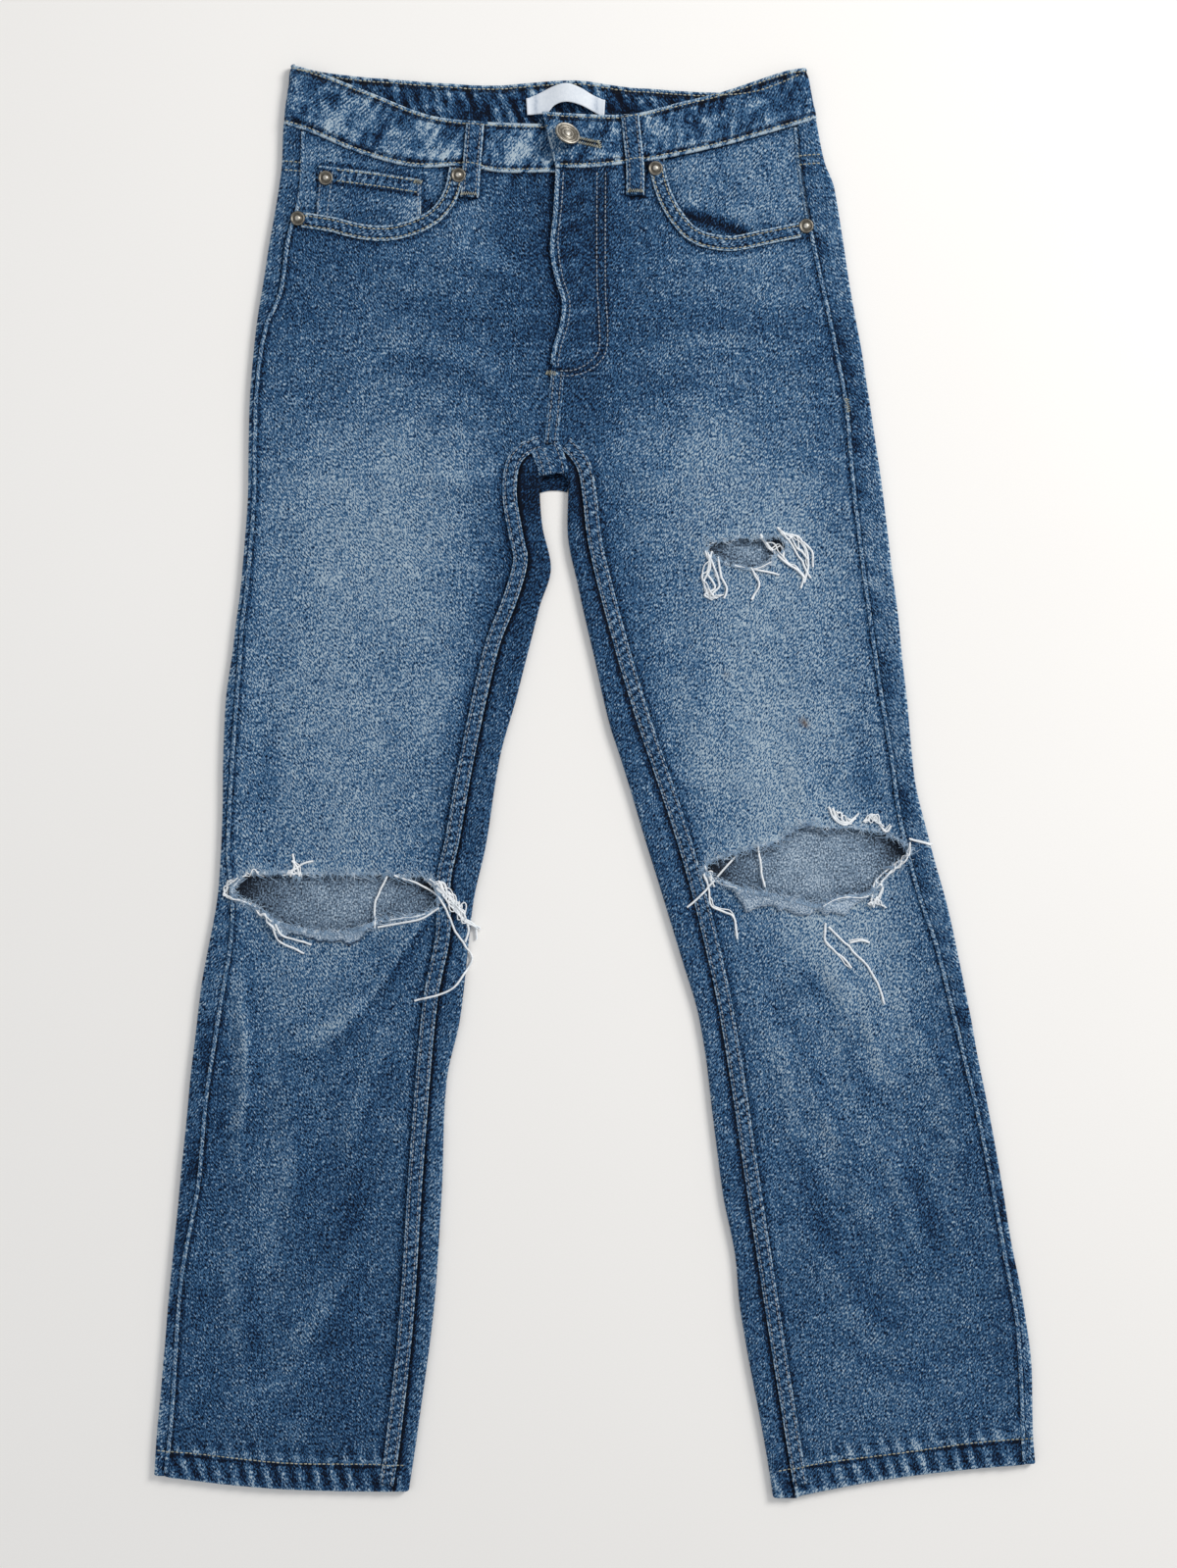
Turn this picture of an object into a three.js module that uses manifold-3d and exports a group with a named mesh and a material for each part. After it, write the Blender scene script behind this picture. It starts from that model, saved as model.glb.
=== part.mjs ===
// Straight-leg five-pocket jeans with torn knees and a torn thigh, lying flat on their back.
// Millimetres. X is across the legs, +Y is towards the waist and +Z is up from the surface.
// Right and left are the wearer's, so the right leg is on the -X side.
import * as THREE from 'three';
import { mergeVertices } from 'three/addons/utils/BufferGeometryUtils.js';
import Module from 'manifold-3d';

const wasm = await Module();
wasm.setup();

// Cloth thicknesses and the gaps left between sewn pieces.
const CLOTH = 1.3;
const HEM_CLOTH = 2.6;
const BAND_CLOTH = 2.8;
const LOOP_CLOTH = 1.6;
const LABEL_CLOTH = 1;
const SEAM_GAP = 0.3;
const WAIST_GAP = 0.8;
const LAYER = CLOTH + SEAM_GAP;

// Sizes of the cut.
const HEM_WIDTH = 20;
const LOOP_WIDTH = 12.7;
const CROTCH_Y = 254;
const CENTRE_X = -32.7;
const FOLD_HEIGHT = 6.4;
const BAND_FOLD_HEIGHT = 7.8;
const FOLD_SPREAD = 24;
const THIGH_LAYERS = 3;
const HIP_LAYERS = 6.4;
const HEM_LAYERS = 5.8;
const BAND_BACK_Z = BAND_CLOTH / 2;
const BAND_FRONT_Z = 6.4;
const LAP_RISE = 3.1;
const FLY_BOTTOM = 322;
const FLY_WIDTH = 34;
const BUTTON = { x: -20.6, y: 491, radius: 10, shank: 1.3 };
const RIVET_RADIUS = 5.5;

const clamp01 = (t) => Math.min(1, Math.max(0, t));
const lerp = (a, b, t) => a + (b - a) * t;

function ease(t) {
  const c = clamp01(t);
  return c * c * (3 - 2 * c);
}

// A smooth value through [where, value] points, level past both ends.
function through(points) {
  const sorted = [...points].sort((a, b) => a[0] - b[0]);
  const last = sorted.length - 1;
  const slopes = sorted.map((point, k) => {
    const before = sorted[Math.max(0, k - 1)];
    const after = sorted[Math.min(last, k + 1)];
    return (after[1] - before[1]) / (after[0] - before[0]);
  });
  return (where) => {
    if (where <= sorted[0][0]) return sorted[0][1];
    if (where >= sorted[last][0]) return sorted[last][1];
    const k = sorted.findIndex((point) => point[0] > where) - 1;
    const run = sorted[k + 1][0] - sorted[k][0];
    const t = (where - sorted[k][0]) / run;
    const rise = sorted[k + 1][1] - sorted[k][1];
    const bend = (1 - t) * (slopes[k] * run - rise) + t * (rise - slopes[k + 1] * run);
    return sorted[k][1] + rise * t + t * (1 - t) * bend;
  };
}

// The two halves. Each line gives [y, x] points down the folded edges and the seams.
const SIDES = {
  right: {
    sign: -1,
    hem: { outer: -529, inner: -541 },
    pocketX: -128,
    yokeSideY: 471,
    outer: through([
      [546, -232], [502, -237.5], [463, -239.5], [403, -250], [313, -262], [200, -266],
      [110, -275], [65, -281.5], [-47, -285], [-92, -289], [-160, -301], [-295, -315.5],
      [-430, -328.5], [-500, -334.5], [-529, -336.4],
    ]),
    inner: through([
      [256, -32.9], [240, -33.5], [229, -41], [195, -40], [162, -33.5], [133, -42.4], [65, -59.6],
      [20, -72.4], [-47, -83], [-92, -92.6], [-182, -103], [-227, -113], [-317, -117],
      [-407, -123.4], [-497, -135.4], [-541, -142],
    ]),
    outseam: through([
      [500, -223], [445, -226], [413, -234.5], [374, -240], [345, -252], [293, -259],
      [110, -270.5], [-47, -280.5], [-95, -277], [-129, -279.5], [-164, -285.5], [-243, -297.5],
      [-305, -303], [-378, -316], [-484, -323.5], [-529, -328],
    ]),
    inseam: through([
      [254, -39], [251, -48], [244, -56], [234, -59], [216, -59.6], [182, -53.6], [168, -51.5],
      [136, -60.4], [104, -73], [20, -92], [-47, -104], [-75, -110], [-117, -110.6],
      [-168, -120.4], [-294, -131], [-415, -139], [-506, -149], [-541, -154.5],
    ]),
  },
  left: {
    sign: 1,
    hem: { outer: -520, inner: -546 },
    pocketX: 64,
    yokeSideY: 476,
    outer: through([
      [543, 161.6], [506, 168.4], [473, 175], [453, 182.6], [381, 194], [291, 209.6],
      [200, 222.4], [110, 233], [20, 242], [-2, 245], [-47, 255.4], [-92, 268], [-182, 287],
      [-272, 304.5], [-362, 320], [-430, 332], [-497, 334.5], [-520, 336.4],
    ]),
    inner: through([
      [256, -32.5], [240, -31.5], [229, -23], [186, -20.6], [147, -12.4], [110, -4], [43, 11.6],
      [20, 19], [-47, 39.4], [-137, 67], [-182, 80], [-272, 92], [-317, 98], [-362, 107],
      [-407, 111.4], [-497, 128], [-546, 136],
    ]),
    outseam: through([
      [505, 153.8], [473, 156.4], [432, 163], [336, 183.4], [288, 192.4], [217, 199], [81, 217],
      [20, 227], [-32, 234.4], [-85, 248], [-125, 261.4], [-173, 273.4], [-268, 296],
      [-364, 314], [-414, 323], [-520, 328],
    ]),
    inseam: through([
      [254, -26], [250, -21], [238, -13], [212, -8.6], [186, -5.6], [146, 3.4], [61, 27.4],
      [-43, 62], [-116, 82], [-184, 96.4], [-340, 120.4], [-447, 137], [-546, 153],
    ]),
  },
};

// The centre front, where the left front laps over the right one down to the crotch.
const centreFront = through([
  [468, -29], [432, -31], [404, -33.4], [381, -29], [366, -24.5], [348, -26], [322, -33],
  [CROTCH_Y, CENTRE_X],
]);

// The edges of the waistband, as [x, y] points.
const frontBandTop = {
  right: through([
    [-232, 546], [-211, 540], [-170, 524], [-129, 508], [-96, 503], [-42, 500.6], [4, 501],
  ]),
  left: through([
    [-40, 509], [-7, 507], [16, 506.6], [37, 509.6], [65, 517], [96, 524.6], [146, 541],
    [162, 543.4],
  ]),
};
const frontBandBottom = {
  right: through([
    [-237.5, 502], [-218, 496], [-180, 480], [-138, 469], [-101, 469.5], [-71, 465], [-35, 465],
    [6, 465],
  ]),
  left: through([
    [-30, 467.6], [-1, 468], [41, 473.6], [96, 485], [153, 501], [168.4, 506],
  ]),
};
const backBandTop = through([
  [-232, 546], [-197, 540], [-124, 533], [-71, 531.4], [-15, 534.6], [34, 529], [96, 525.4],
  [126, 529], [162, 543.4],
]);
const backBandBottom = through([
  [-237.5, 502], [-197, 499], [-124, 492], [-71, 490.5], [-15, 493], [34, 488], [96, 485],
  [130, 492], [168.4, 506],
]);

// The hidden back pockets and back belt loops, which the cloth above lies over.
const POCKET = { top: 418, bottom: 262, topHalf: 70, bottomHalf: 60, point: 24 };
const BACK_LOOPS = { centre: CENTRE_X, right: CENTRE_X - 100, left: CENTRE_X + 100 };
const LOOP_FOOT_Y = 470;

// How far a box under the cloth lifts it: fully over the box, fading to nothing past it.
function liftOver(x, y, box, fade) {
  const beyondX = Math.max(0, Math.abs(x - box.x) - box.halfX);
  const beyondY = Math.max(0, box.low - y, y - box.high);
  return box.height * ease(1 - beyondX / fade) * ease(1 - beyondY / fade);
}

const underBoxes = [
  ...Object.values(SIDES).map((side) => ({
    x: side.pocketX, halfX: POCKET.topHalf + 16, low: POCKET.bottom - 4, high: POCKET.top + 27,
    height: LAYER,
  })),
  ...Object.values(BACK_LOOPS).map((x) => ({
    x, halfX: LOOP_WIDTH / 2 + 16, low: LOOP_FOOT_Y - 20, high: 600, height: LOOP_CLOTH + SEAM_GAP,
  })),
];

const backLift = (x, y) => Math.max(...underBoxes.map((box) => liftOver(x, y, box, 20)));

// The coin pocket lies between the right pocket facing and the front.
const coinBox = { x: -180, halfX: 68, low: 384, high: 600, height: LAYER };
const coinLift = (x, y) => liftOver(x, y, coinBox, 26);

// The left front is lifted by the fly extension of the right front, and by the band at the top.
function flyLift(x, y) {
  const height = LAYER * ease((y - 296) / 26) + (LAP_RISE - LAYER) * ease((y - 425) / 38);
  return height * ease((centreFront(y) + FLY_WIDTH + 34 - x) / 30);
}

// One level of a half: the crests of its folded edges, the radius of the folds, and its seams.
function section(side, y) {
  const radius = FOLD_HEIGHT / 2;
  const outerCrest = side.outer(y) - side.sign * radius;
  const innerCrest = side.inner(y) + side.sign * radius;
  const furthest = outerCrest - side.sign;
  const outseam = side.sign < 0
    ? Math.max(furthest, side.outseam(y))
    : Math.min(furthest, side.outseam(y));
  return { radius, outerCrest, innerCrest, outseam, inseam: side.inseam(y) };
}

// Height of the outer face of the upper layer, without what only lifts the fronts.
function topHeight(side, x, y) {
  const level = section(side, y);
  const flat = THIGH_LAYERS
    + (HIP_LAYERS - THIGH_LAYERS) * ease((y - 150) / 90)
    + (HEM_LAYERS - THIGH_LAYERS) * ease((-440 - y) / 50);
  const fromOuter = Math.exp(-(((x - level.outerCrest) / FOLD_SPREAD) ** 2));
  const fromInner = Math.exp(-(((x - level.innerCrest) / FOLD_SPREAD) ** 2));
  return flat + (FOLD_HEIGHT - flat) * Math.min(1, fromOuter + fromInner);
}

// A station on a cloth piece: a point on its outer face and the one right behind it.
function station(x, y, z, normalX, normalZ, thickness) {
  return {
    out: [x, y, z],
    in: [x - normalX * thickness, y, z - normalZ * thickness],
  };
}

// A closed body from rows of stations. A null leaves the cells round it open.
function closedSheet(rows) {
  const corners = [];
  const filled = (i, j) => {
    if (i < 0 || j < 0 || i >= rows.length - 1 || j >= rows[i].length - 1) return false;
    return [rows[i][j], rows[i][j + 1], rows[i + 1][j], rows[i + 1][j + 1]].every(Boolean);
  };
  const quad = (a, b, c, d) => corners.push(...a, ...b, ...c, ...a, ...c, ...d);
  for (let i = 0; i < rows.length - 1; i++) {
    for (let j = 0; j < rows[i].length - 1; j++) {
      if (!filled(i, j)) continue;
      const [a, b, c, d] = [rows[i][j], rows[i][j + 1], rows[i + 1][j + 1], rows[i + 1][j]];
      quad(a.out, b.out, c.out, d.out);
      quad(a.in, d.in, c.in, b.in);
      if (!filled(i - 1, j)) quad(a.in, b.in, b.out, a.out);
      if (!filled(i, j + 1)) quad(b.in, c.in, c.out, b.out);
      if (!filled(i + 1, j)) quad(c.in, d.in, d.out, c.out);
      if (!filled(i, j - 1)) quad(d.in, a.in, a.out, d.out);
    }
  }
  const geometry = new THREE.BufferGeometry();
  geometry.setAttribute('position', new THREE.Float32BufferAttribute(corners, 3));
  const merged = mergeVertices(geometry, 1e-3);
  if (signedVolume(merged) < 0) merged.index.array.reverse();
  return merged;
}

function signedVolume(geometry) {
  const { array } = geometry.index;
  const corner = [new THREE.Vector3(), new THREE.Vector3(), new THREE.Vector3()];
  let sum = 0;
  for (let k = 0; k < array.length; k += 3) {
    corner.forEach((point, n) => point.fromBufferAttribute(geometry.attributes.position, array[k + n]));
    sum += corner[0].dot(corner[1].cross(corner[2]));
  }
  return sum / 6;
}

function toManifold(geometry) {
  const plain = geometry.clone();
  plain.deleteAttribute('normal');
  plain.deleteAttribute('uv');
  const merged = mergeVertices(plain, 1e-4);
  return new wasm.Manifold(new wasm.Mesh({
    numProp: 3,
    vertProperties: Float32Array.from(merged.attributes.position.array),
    triVerts: Uint32Array.from(merged.index.array),
  }));
}

function toGeometry(solid) {
  const mesh = solid.getMesh();
  const geometry = new THREE.BufferGeometry();
  geometry.setAttribute('position', new THREE.BufferAttribute(mesh.vertProperties, 3));
  geometry.setIndex(new THREE.BufferAttribute(mesh.triVerts, 1));
  return geometry;
}

// An upright block with the given plan, from one height to another.
function block(outline, low, high) {
  const shape = new THREE.Shape(outline.map(([x, y]) => new THREE.Vector2(x, y)));
  const geometry = new THREE.ExtrudeGeometry(shape, { depth: high - low, bevelEnabled: false });
  return geometry.translate(0, 0, low);
}

function cutAway(geometry, cutters) {
  const solid = cutters.reduce((left, cutter) => left.subtract(toManifold(cutter)), toManifold(geometry));
  return toGeometry(solid);
}

const steps = (count) => Array.from({ length: count + 1 }, (_, k) => k / count);

// Rows of a leg by how far they are up from the hem to the crotch, closer where the seams turn.
const LEG_LENGTH = CROTCH_Y - SIDES.right.hem.inner;
const legRows = [
  0, HEM_WIDTH, HEM_WIDTH + 4,
  ...steps(11).slice(1).map((t) => lerp(HEM_WIDTH, LEG_LENGTH - 104, t)),
  ...[80, 58, 38, 24, 12, 3.2, 0].map((below) => LEG_LENGTH - below),
].map((up) => up / LEG_LENGTH);
const lastTubeRow = legRows.length - 2;

const thicknessAt = (up) => (up * LEG_LENGTH <= HEM_WIDTH ? HEM_CLOTH : CLOTH);
const legY = (side, across, up) => lerp(lerp(side.hem.outer, side.hem.inner, across), CROTCH_Y, up);

// The fronts, in columns from the outseam to the inseam, or to the centre front above the crotch.
const frontColumns = steps(10).map((t) => (1 - Math.cos(Math.PI * t)) / 2);

function frontPoint(side, name, across, y, rise) {
  const level = section(side, y);
  const inwards = -side.sign;
  const start = level.outseam + inwards * SEAM_GAP / 2;
  let end = level.inseam - inwards * SEAM_GAP / 2;
  if (y > CROTCH_Y + 1) {
    const extension = name === 'right' ? FLY_WIDTH * ease((y - FLY_BOTTOM - 22) / 40) : 0;
    end = centreFront(y) - inwards * SEAM_GAP / 2 + extension;
  }
  const x = lerp(start, end, across);
  return { x, z: topHeight(side, x, y) + rise(x, y) };
}

function frontLift(name) {
  return name === 'right' ? coinLift : flyLift;
}

function frontStation(name, across, y, thickness, rise) {
  const { x, z } = frontPoint(SIDES[name], name, across, y, rise);
  return station(x, y, z, 0, 1, thickness);
}

// Rows of the hip by their height at the side seam, the same for the fronts, backs and yokes.
const sideWaistY = (name) => frontBandBottom[name](SIDES[name].outseam(495)) - WAIST_GAP;
const hipSteps = [0.03, ...steps(7).slice(1)];
const yokeSteps = steps(3);

function hipRows(name) {
  const { yokeSideY } = SIDES[name];
  const heights = [
    ...hipSteps.map((t) => lerp(CROTCH_Y, yokeSideY, t)),
    ...yokeSteps.slice(1).map((t) => lerp(yokeSideY, sideWaistY(name), t)),
  ];
  return heights.map((y) => (y - CROTCH_Y) / (sideWaistY(name) - CROTCH_Y));
}

// The height up the hip, from 0 at the crotch to 1 at the waistband seam.
function hipY(name, across, up) {
  const side = SIDES[name];
  const endX = name === 'right' ? FLY_WIDTH + centreFront(468) : centreFront(468);
  const seamX = lerp(side.outseam(495), endX, across);
  return lerp(CROTCH_Y, frontBandBottom[name](seamX) - WAIST_GAP, up);
}

function frontPanel(name) {
  const side = SIDES[name];
  const leg = legRows.map((up) => frontColumns.map((across) => (
    frontStation(name, across, legY(side, across, up), thicknessAt(up), frontLift(name))
  )));
  const hip = hipRows(name).map((up) => frontColumns.map((across) => (
    frontStation(name, across, hipY(name, across, up), CLOTH, frontLift(name))
  )));
  return closedSheet([...leg, ...hip]);
}

// The backs, in columns round from the outseam over the outer fold, along the surface and, on a leg,
// over the inner fold to the inseam.
const STRIP = steps(2);
const FOLD = steps(5).slice(1);
const UNDER = steps(12).slice(1);

function backStations(name, yAt, thickness, tube) {
  const side = SIDES[name];
  const inwards = -side.sign;
  const stations = [];
  const add = (across, place) => {
    const y = yAt(across, 'top');
    stations.push(place(y, section(side, y)));
  };
  const onTop = (x, y) => station(x, y, topHeight(side, x, y), 0, 1, thickness);
  const onFold = (crest, radius, turn, way, y) => {
    const angle = Math.PI * (0.5 - turn);
    const normalX = way * Math.cos(angle);
    const normalZ = Math.sin(angle);
    const x = crest + normalX * radius;
    return station(x, y, radius + normalZ * radius, normalX, normalZ, thickness);
  };
  for (const t of STRIP) {
    add(0, (y, level) => onTop(lerp(level.outseam - inwards * SEAM_GAP / 2, level.outerCrest, t), y));
  }
  for (const t of FOLD) {
    add(0, (y, level) => onFold(level.outerCrest, level.radius, t, side.sign, y));
  }
  for (const t of UNDER) {
    const y = yAt(t, 'under');
    const level = section(side, y);
    const end = tube ? level.innerCrest : CENTRE_X - inwards * SEAM_GAP / 2;
    const x = lerp(level.outerCrest, end, t);
    stations.push(station(x, y, backLift(x, y), 0, -1, thickness));
  }
  if (!tube) return [...stations, ...FOLD.map(() => null), ...STRIP.slice(1).map(() => null)];
  for (const t of FOLD) {
    add(1, (y, level) => onFold(level.innerCrest, level.radius, 1 - t, inwards, y));
  }
  for (const t of STRIP.slice(1)) {
    add(1, (y, level) => onTop(lerp(level.innerCrest, level.inseam + inwards * SEAM_GAP / 2, t), y));
  }
  return stations;
}

// The yoke seam runs down from the side to the centre back.
function yokeSeamY(name, across) {
  return lerp(SIDES[name].yokeSideY, 425, across);
}

function backWaistY(name, across, layer) {
  const side = SIDES[name];
  if (layer === 'top') return sideWaistY(name);
  return backBandBottom(lerp(section(side, 500).outerCrest, CENTRE_X, across)) - WAIST_GAP;
}

function backPanel(name) {
  const side = SIDES[name];
  const leg = legRows.map((up, k) => backStations(
    name, (across) => legY(side, across, up), thicknessAt(up), k <= lastTubeRow,
  ));
  const hip = hipSteps.map((up) => backStations(
    name, (across) => lerp(CROTCH_Y, yokeSeamY(name, across) - SEAM_GAP / 2, up), CLOTH, false,
  ));
  return closedSheet([...leg, ...hip]);
}

function yoke(name) {
  return closedSheet(yokeSteps.map((up) => backStations(name, (across, layer) => (
    lerp(yokeSeamY(name, across) + SEAM_GAP / 2, backWaistY(name, across, layer), up)
  ), CLOTH, false)));
}

// A pocket facing fills the scooped pocket mouth, one layer under the front.
function pocketFacing(name, reach) {
  const columns = steps(7).map((t) => t * reach);
  const rows = steps(5).map((t) => lerp(0.64, 1, t));
  return closedSheet(rows.map((up) => columns.map((across) => (
    frontStation(name, across, hipY(name, across, up), CLOTH, () => -LAYER)
  ))));
}

// The coin pocket is cut from a layer that lies right on the facing.
function coinPocket() {
  const rows = steps(5).map((t) => lerp(0.62, 0.99, t));
  const layer = closedSheet(rows.map((up) => steps(6).map((t) => (
    frontStation('right', 0.03 + t * 0.52, hipY('right', 0.03 + t * 0.52, up), CLOTH, () => 0)
  ))));
  const outline = [[-212, 470], [-131, 458.5], [-136, 402], [-152, 396], [-200, 398], [-216, 412]];
  return toGeometry(toManifold(layer).intersect(toManifold(block(outline, 0, 20))));
}

// Pocket mouths and tears, as [x, y] outlines through the fronts.
const RIGHT_MOUTH = [
  [-110, 467], [-113, 453], [-120, 440], [-131, 431], [-144, 425.5], [-159, 422.5], [-178, 424],
  [-198, 429], [-250, 436], [-250, 530], [-110, 530],
];
const LEFT_MOUTH = [
  [52, 469], [57, 450], [65, 435], [75, 423], [89, 417], [105, 415.5], [126, 419.5], [185, 431],
  [185, 530], [52, 530],
];
const RIGHT_KNEE_TEAR = [
  [-271, -83], [-262, -70], [-234, -68.5], [-179, -70], [-133, -72.5], [-120, -77], [-120, -92],
  [-138, -103], [-165, -107], [-204, -111], [-244, -108], [-262, -93],
];
const LEFT_KNEE_TEAR = [
  [82, -68], [108, -55], [137, -46], [159, -32], [183, -36], [216, -38], [232, -43], [233, -53],
  [218, -76], [206, -91], [189, -98], [159, -99], [140, -94], [101, -83],
];
const LEFT_THIGH_TEAR = [
  [84, 176], [90, 182], [111, 186.5], [126, 185.5], [139, 188], [146, 178], [135, 171.5],
  [119, 164], [93, 169],
];

// The back pockets are five-sided patches flat under the backs.
function backPocket(name) {
  const { pocketX } = SIDES[name];
  const outline = [
    [-POCKET.topHalf, POCKET.top], [-POCKET.bottomHalf, POCKET.bottom + POCKET.point],
    [0, POCKET.bottom], [POCKET.bottomHalf, POCKET.bottom + POCKET.point],
    [POCKET.topHalf, POCKET.top],
  ].map(([x, y]) => [x + pocketX, y]);
  return block(outline, 0, CLOTH);
}

// The waistband is one strip round from the under lap over the right side, the back and the left
// side to the lap on top.
function bandCentre(name, x) {
  const lap = name === 'left' ? LAP_RISE * ease((40 - x) / 30) : 0;
  return BAND_FRONT_Z + lap;
}

function bandRow(topX, bottomX, topY, bottomY, heightAt, normalX, normalZ) {
  return [[topX, topY], [bottomX, bottomY]].map(([x, y]) => (
    station(x, y, heightAt(x, y) + normalZ * BAND_CLOTH / 2, normalX, normalZ, BAND_CLOTH)
  ));
}

function bandFront(name, lapTopX, lapBottomX, count) {
  const side = SIDES[name];
  const cornerTop = side.outer(546) - side.sign * BAND_FOLD_HEIGHT / 2;
  const cornerBottom = side.outer(502) - side.sign * BAND_FOLD_HEIGHT / 2;
  return steps(count).map((t) => {
    const topX = lerp(lapTopX, cornerTop, t);
    const bottomX = lerp(lapBottomX, cornerBottom, t);
    const topY = frontBandTop[name](topX);
    const bottomY = frontBandBottom[name](bottomX);
    return bandRow(topX, bottomX, topY, bottomY, (x) => bandCentre(name, x), 0, 1);
  });
}

function bandFold(name) {
  const side = SIDES[name];
  const radius = BAND_FOLD_HEIGHT / 2;
  return steps(6).slice(1, -1).map((t) => {
    const angle = Math.PI * (0.5 - t);
    const normalX = side.sign * Math.cos(angle);
    const normalZ = Math.sin(angle);
    return [546, 502].map((y, edge) => {
      const cornerY = (edge ? frontBandBottom : frontBandTop)[name](side.outer(y));
      const x = side.outer(y) - side.sign * radius + normalX * radius;
      return station(x, cornerY, radius + normalZ * radius, normalX, normalZ, BAND_CLOTH);
    });
  });
}

function bandBack() {
  const inset = BAND_FOLD_HEIGHT / 2;
  return steps(32).map((t) => {
    const topX = lerp(SIDES.right.outer(546) + inset, SIDES.left.outer(546) - inset, t);
    const bottomX = lerp(SIDES.right.outer(502) + inset, SIDES.left.outer(502) - inset, t);
    const centre = (x, y) => BAND_BACK_Z + backLift(x, y);
    return bandRow(topX, bottomX, backBandTop(topX), backBandBottom(bottomX), centre, 0, -1);
  });
}

function waistband() {
  const strip = closedSheet([
    ...bandFront('right', 2, 4, 18),
    ...bandFold('right'),
    ...bandBack(),
    ...bandFold('left').reverse(),
    ...bandFront('left', -40, -30, 18).reverse(),
  ]);
  const aboveUnderLap = BAND_FRONT_Z + BAND_CLOTH / 2 + SEAM_GAP / 2;
  const hole = block([
    [BUTTON.x - 3, BUTTON.y - 1.2], [4, BUTTON.y - 6.4], [4, BUTTON.y - 3.6],
    [BUTTON.x - 3, BUTTON.y + 2],
  ], aboveUnderLap, 20);
  return cutAway(strip, [hole]);
}

// A front belt loop runs down over the waistband and is tacked on the front below it.
function frontLoop(name, topX, bottomX, topY, bottomY) {
  const side = SIDES[name];
  const half = LOOP_WIDTH / 2;
  const heightUnder = (x, y) => {
    const onBand = bandCentre(name, x) + BAND_CLOTH / 2;
    const onFront = topHeight(side, x, y) + frontLift(name)(x, y);
    return Math.max(onBand, onFront) + SEAM_GAP + 0.2;
  };
  return closedSheet(steps(8).map((t) => {
    const y = lerp(topY, bottomY, t);
    const centreX = lerp(topX, bottomX, t);
    const edges = [centreX - half, centreX + half];
    const z = Math.max(...[...edges, centreX].map((x) => heightUnder(x, y))) + LOOP_CLOTH;
    return edges.map((x) => station(x, y, z, 0, 1, LOOP_CLOTH));
  }));
}

function backLoop(x) {
  const half = LOOP_WIDTH / 2;
  const top = backBandTop(x) - 1;
  return block([
    [x - half, LOOP_FOOT_Y], [x + half, LOOP_FOOT_Y], [x + half, top], [x - half, top],
  ], 0, LOOP_CLOTH);
}

// The blank label is a tape that bows up on the inside of the back waistband.
function label() {
  const half = 7.3;
  const centreLine = through([[-50, 516.5], [-36, 519], [-22, 524.4], [-10, 523], [-1, 518], [7, 516.5]]);
  return closedSheet(steps(14).map((t) => {
    const x = lerp(-50, 7, t);
    return [-half, half].map((across) => {
      const y = centreLine(x) + across;
      const z = BAND_CLOTH + backLift(x, y) + 2 * SEAM_GAP + LABEL_CLOTH;
      return station(x, y, z, 0, 1, LABEL_CLOTH);
    });
  }));
}

function turned(profile, segments) {
  const points = profile.map(([radius, height]) => new THREE.Vector2(radius, height));
  return new THREE.LatheGeometry(points, segments).rotateX(Math.PI / 2);
}

// The button's shank stands on the under lap and comes up through the buttonhole.
function button() {
  const { radius, shank } = BUTTON;
  const head = BAND_CLOTH + 1;
  return turned([
    [0, 0], [shank, 0], [shank, head], [radius - 1, head], [radius, head + 0.7],
    [radius, head + 1.5], [radius - 1, head + 2.2], [radius - 2.2, head + 1.7], [5.2, head + 1.7],
    [4.4, head + 2.2], [2.6, head + 1.9], [1.8, head + 2.4], [0, head + 2.5],
  ], 24);
}

function rivet() {
  return turned([
    [0, 0], [RIVET_RADIUS, 0], [RIVET_RADIUS, 0.6], [RIVET_RADIUS - 1, 1.2], [2.8, 1.2],
    [2.2, 1.7], [0, 1.9],
  ], 16);
}

const denim = { color: 0x3f5f86, roughness: 0.9, metalness: 0 };
const MATERIALS = {
  front: denim,
  back: { ...denim, color: 0x3a587d },
  trim: { ...denim, color: 0x35527a },
  facing: { ...denim, color: 0x2c4468 },
  label: { color: 0xe9e9ea, roughness: 0.8, metalness: 0 },
  metal: { color: 0xa09480, roughness: 0.45, metalness: 1 },
};

const jeans = new THREE.Group();
jeans.name = 'jeans';

function addPiece(name, geometry, material) {
  geometry.computeVertexNormals();
  const mesh = new THREE.Mesh(geometry, new THREE.MeshStandardMaterial(MATERIALS[material]));
  mesh.name = name;
  jeans.add(mesh);
  return mesh;
}

const through20 = (outline) => block(outline, -1, 20);
addPiece('front_right', cutAway(
  frontPanel('right'), [RIGHT_MOUTH, RIGHT_KNEE_TEAR].map(through20),
), 'front');
addPiece('front_left', cutAway(
  frontPanel('left'), [LEFT_MOUTH, LEFT_KNEE_TEAR, LEFT_THIGH_TEAR].map(through20),
), 'front');
for (const name of ['right', 'left']) {
  addPiece(`back_${name}`, backPanel(name), 'back');
  addPiece(`yoke_${name}`, yoke(name), 'back');
  addPiece(`back_pocket_${name}`, backPocket(name), 'trim');
}
addPiece('pocket_facing_right', pocketFacing('right', 0.58), 'facing');
addPiece('pocket_facing_left', pocketFacing('left', 0.62), 'facing');
addPiece('coin_pocket', coinPocket(), 'trim');
addPiece('waistband', waistband(), 'trim');
addPiece('belt_loop_front_right', frontLoop('right', -91.5, -95, 503, 444), 'trim');
addPiece('belt_loop_front_left', frontLoop('left', 26.5, 30, 506, 447), 'trim');
for (const [place, x] of Object.entries(BACK_LOOPS)) {
  addPiece(`belt_loop_back_${place}`, backLoop(x), 'trim');
}
addPiece('label', label(), 'label');

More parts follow.
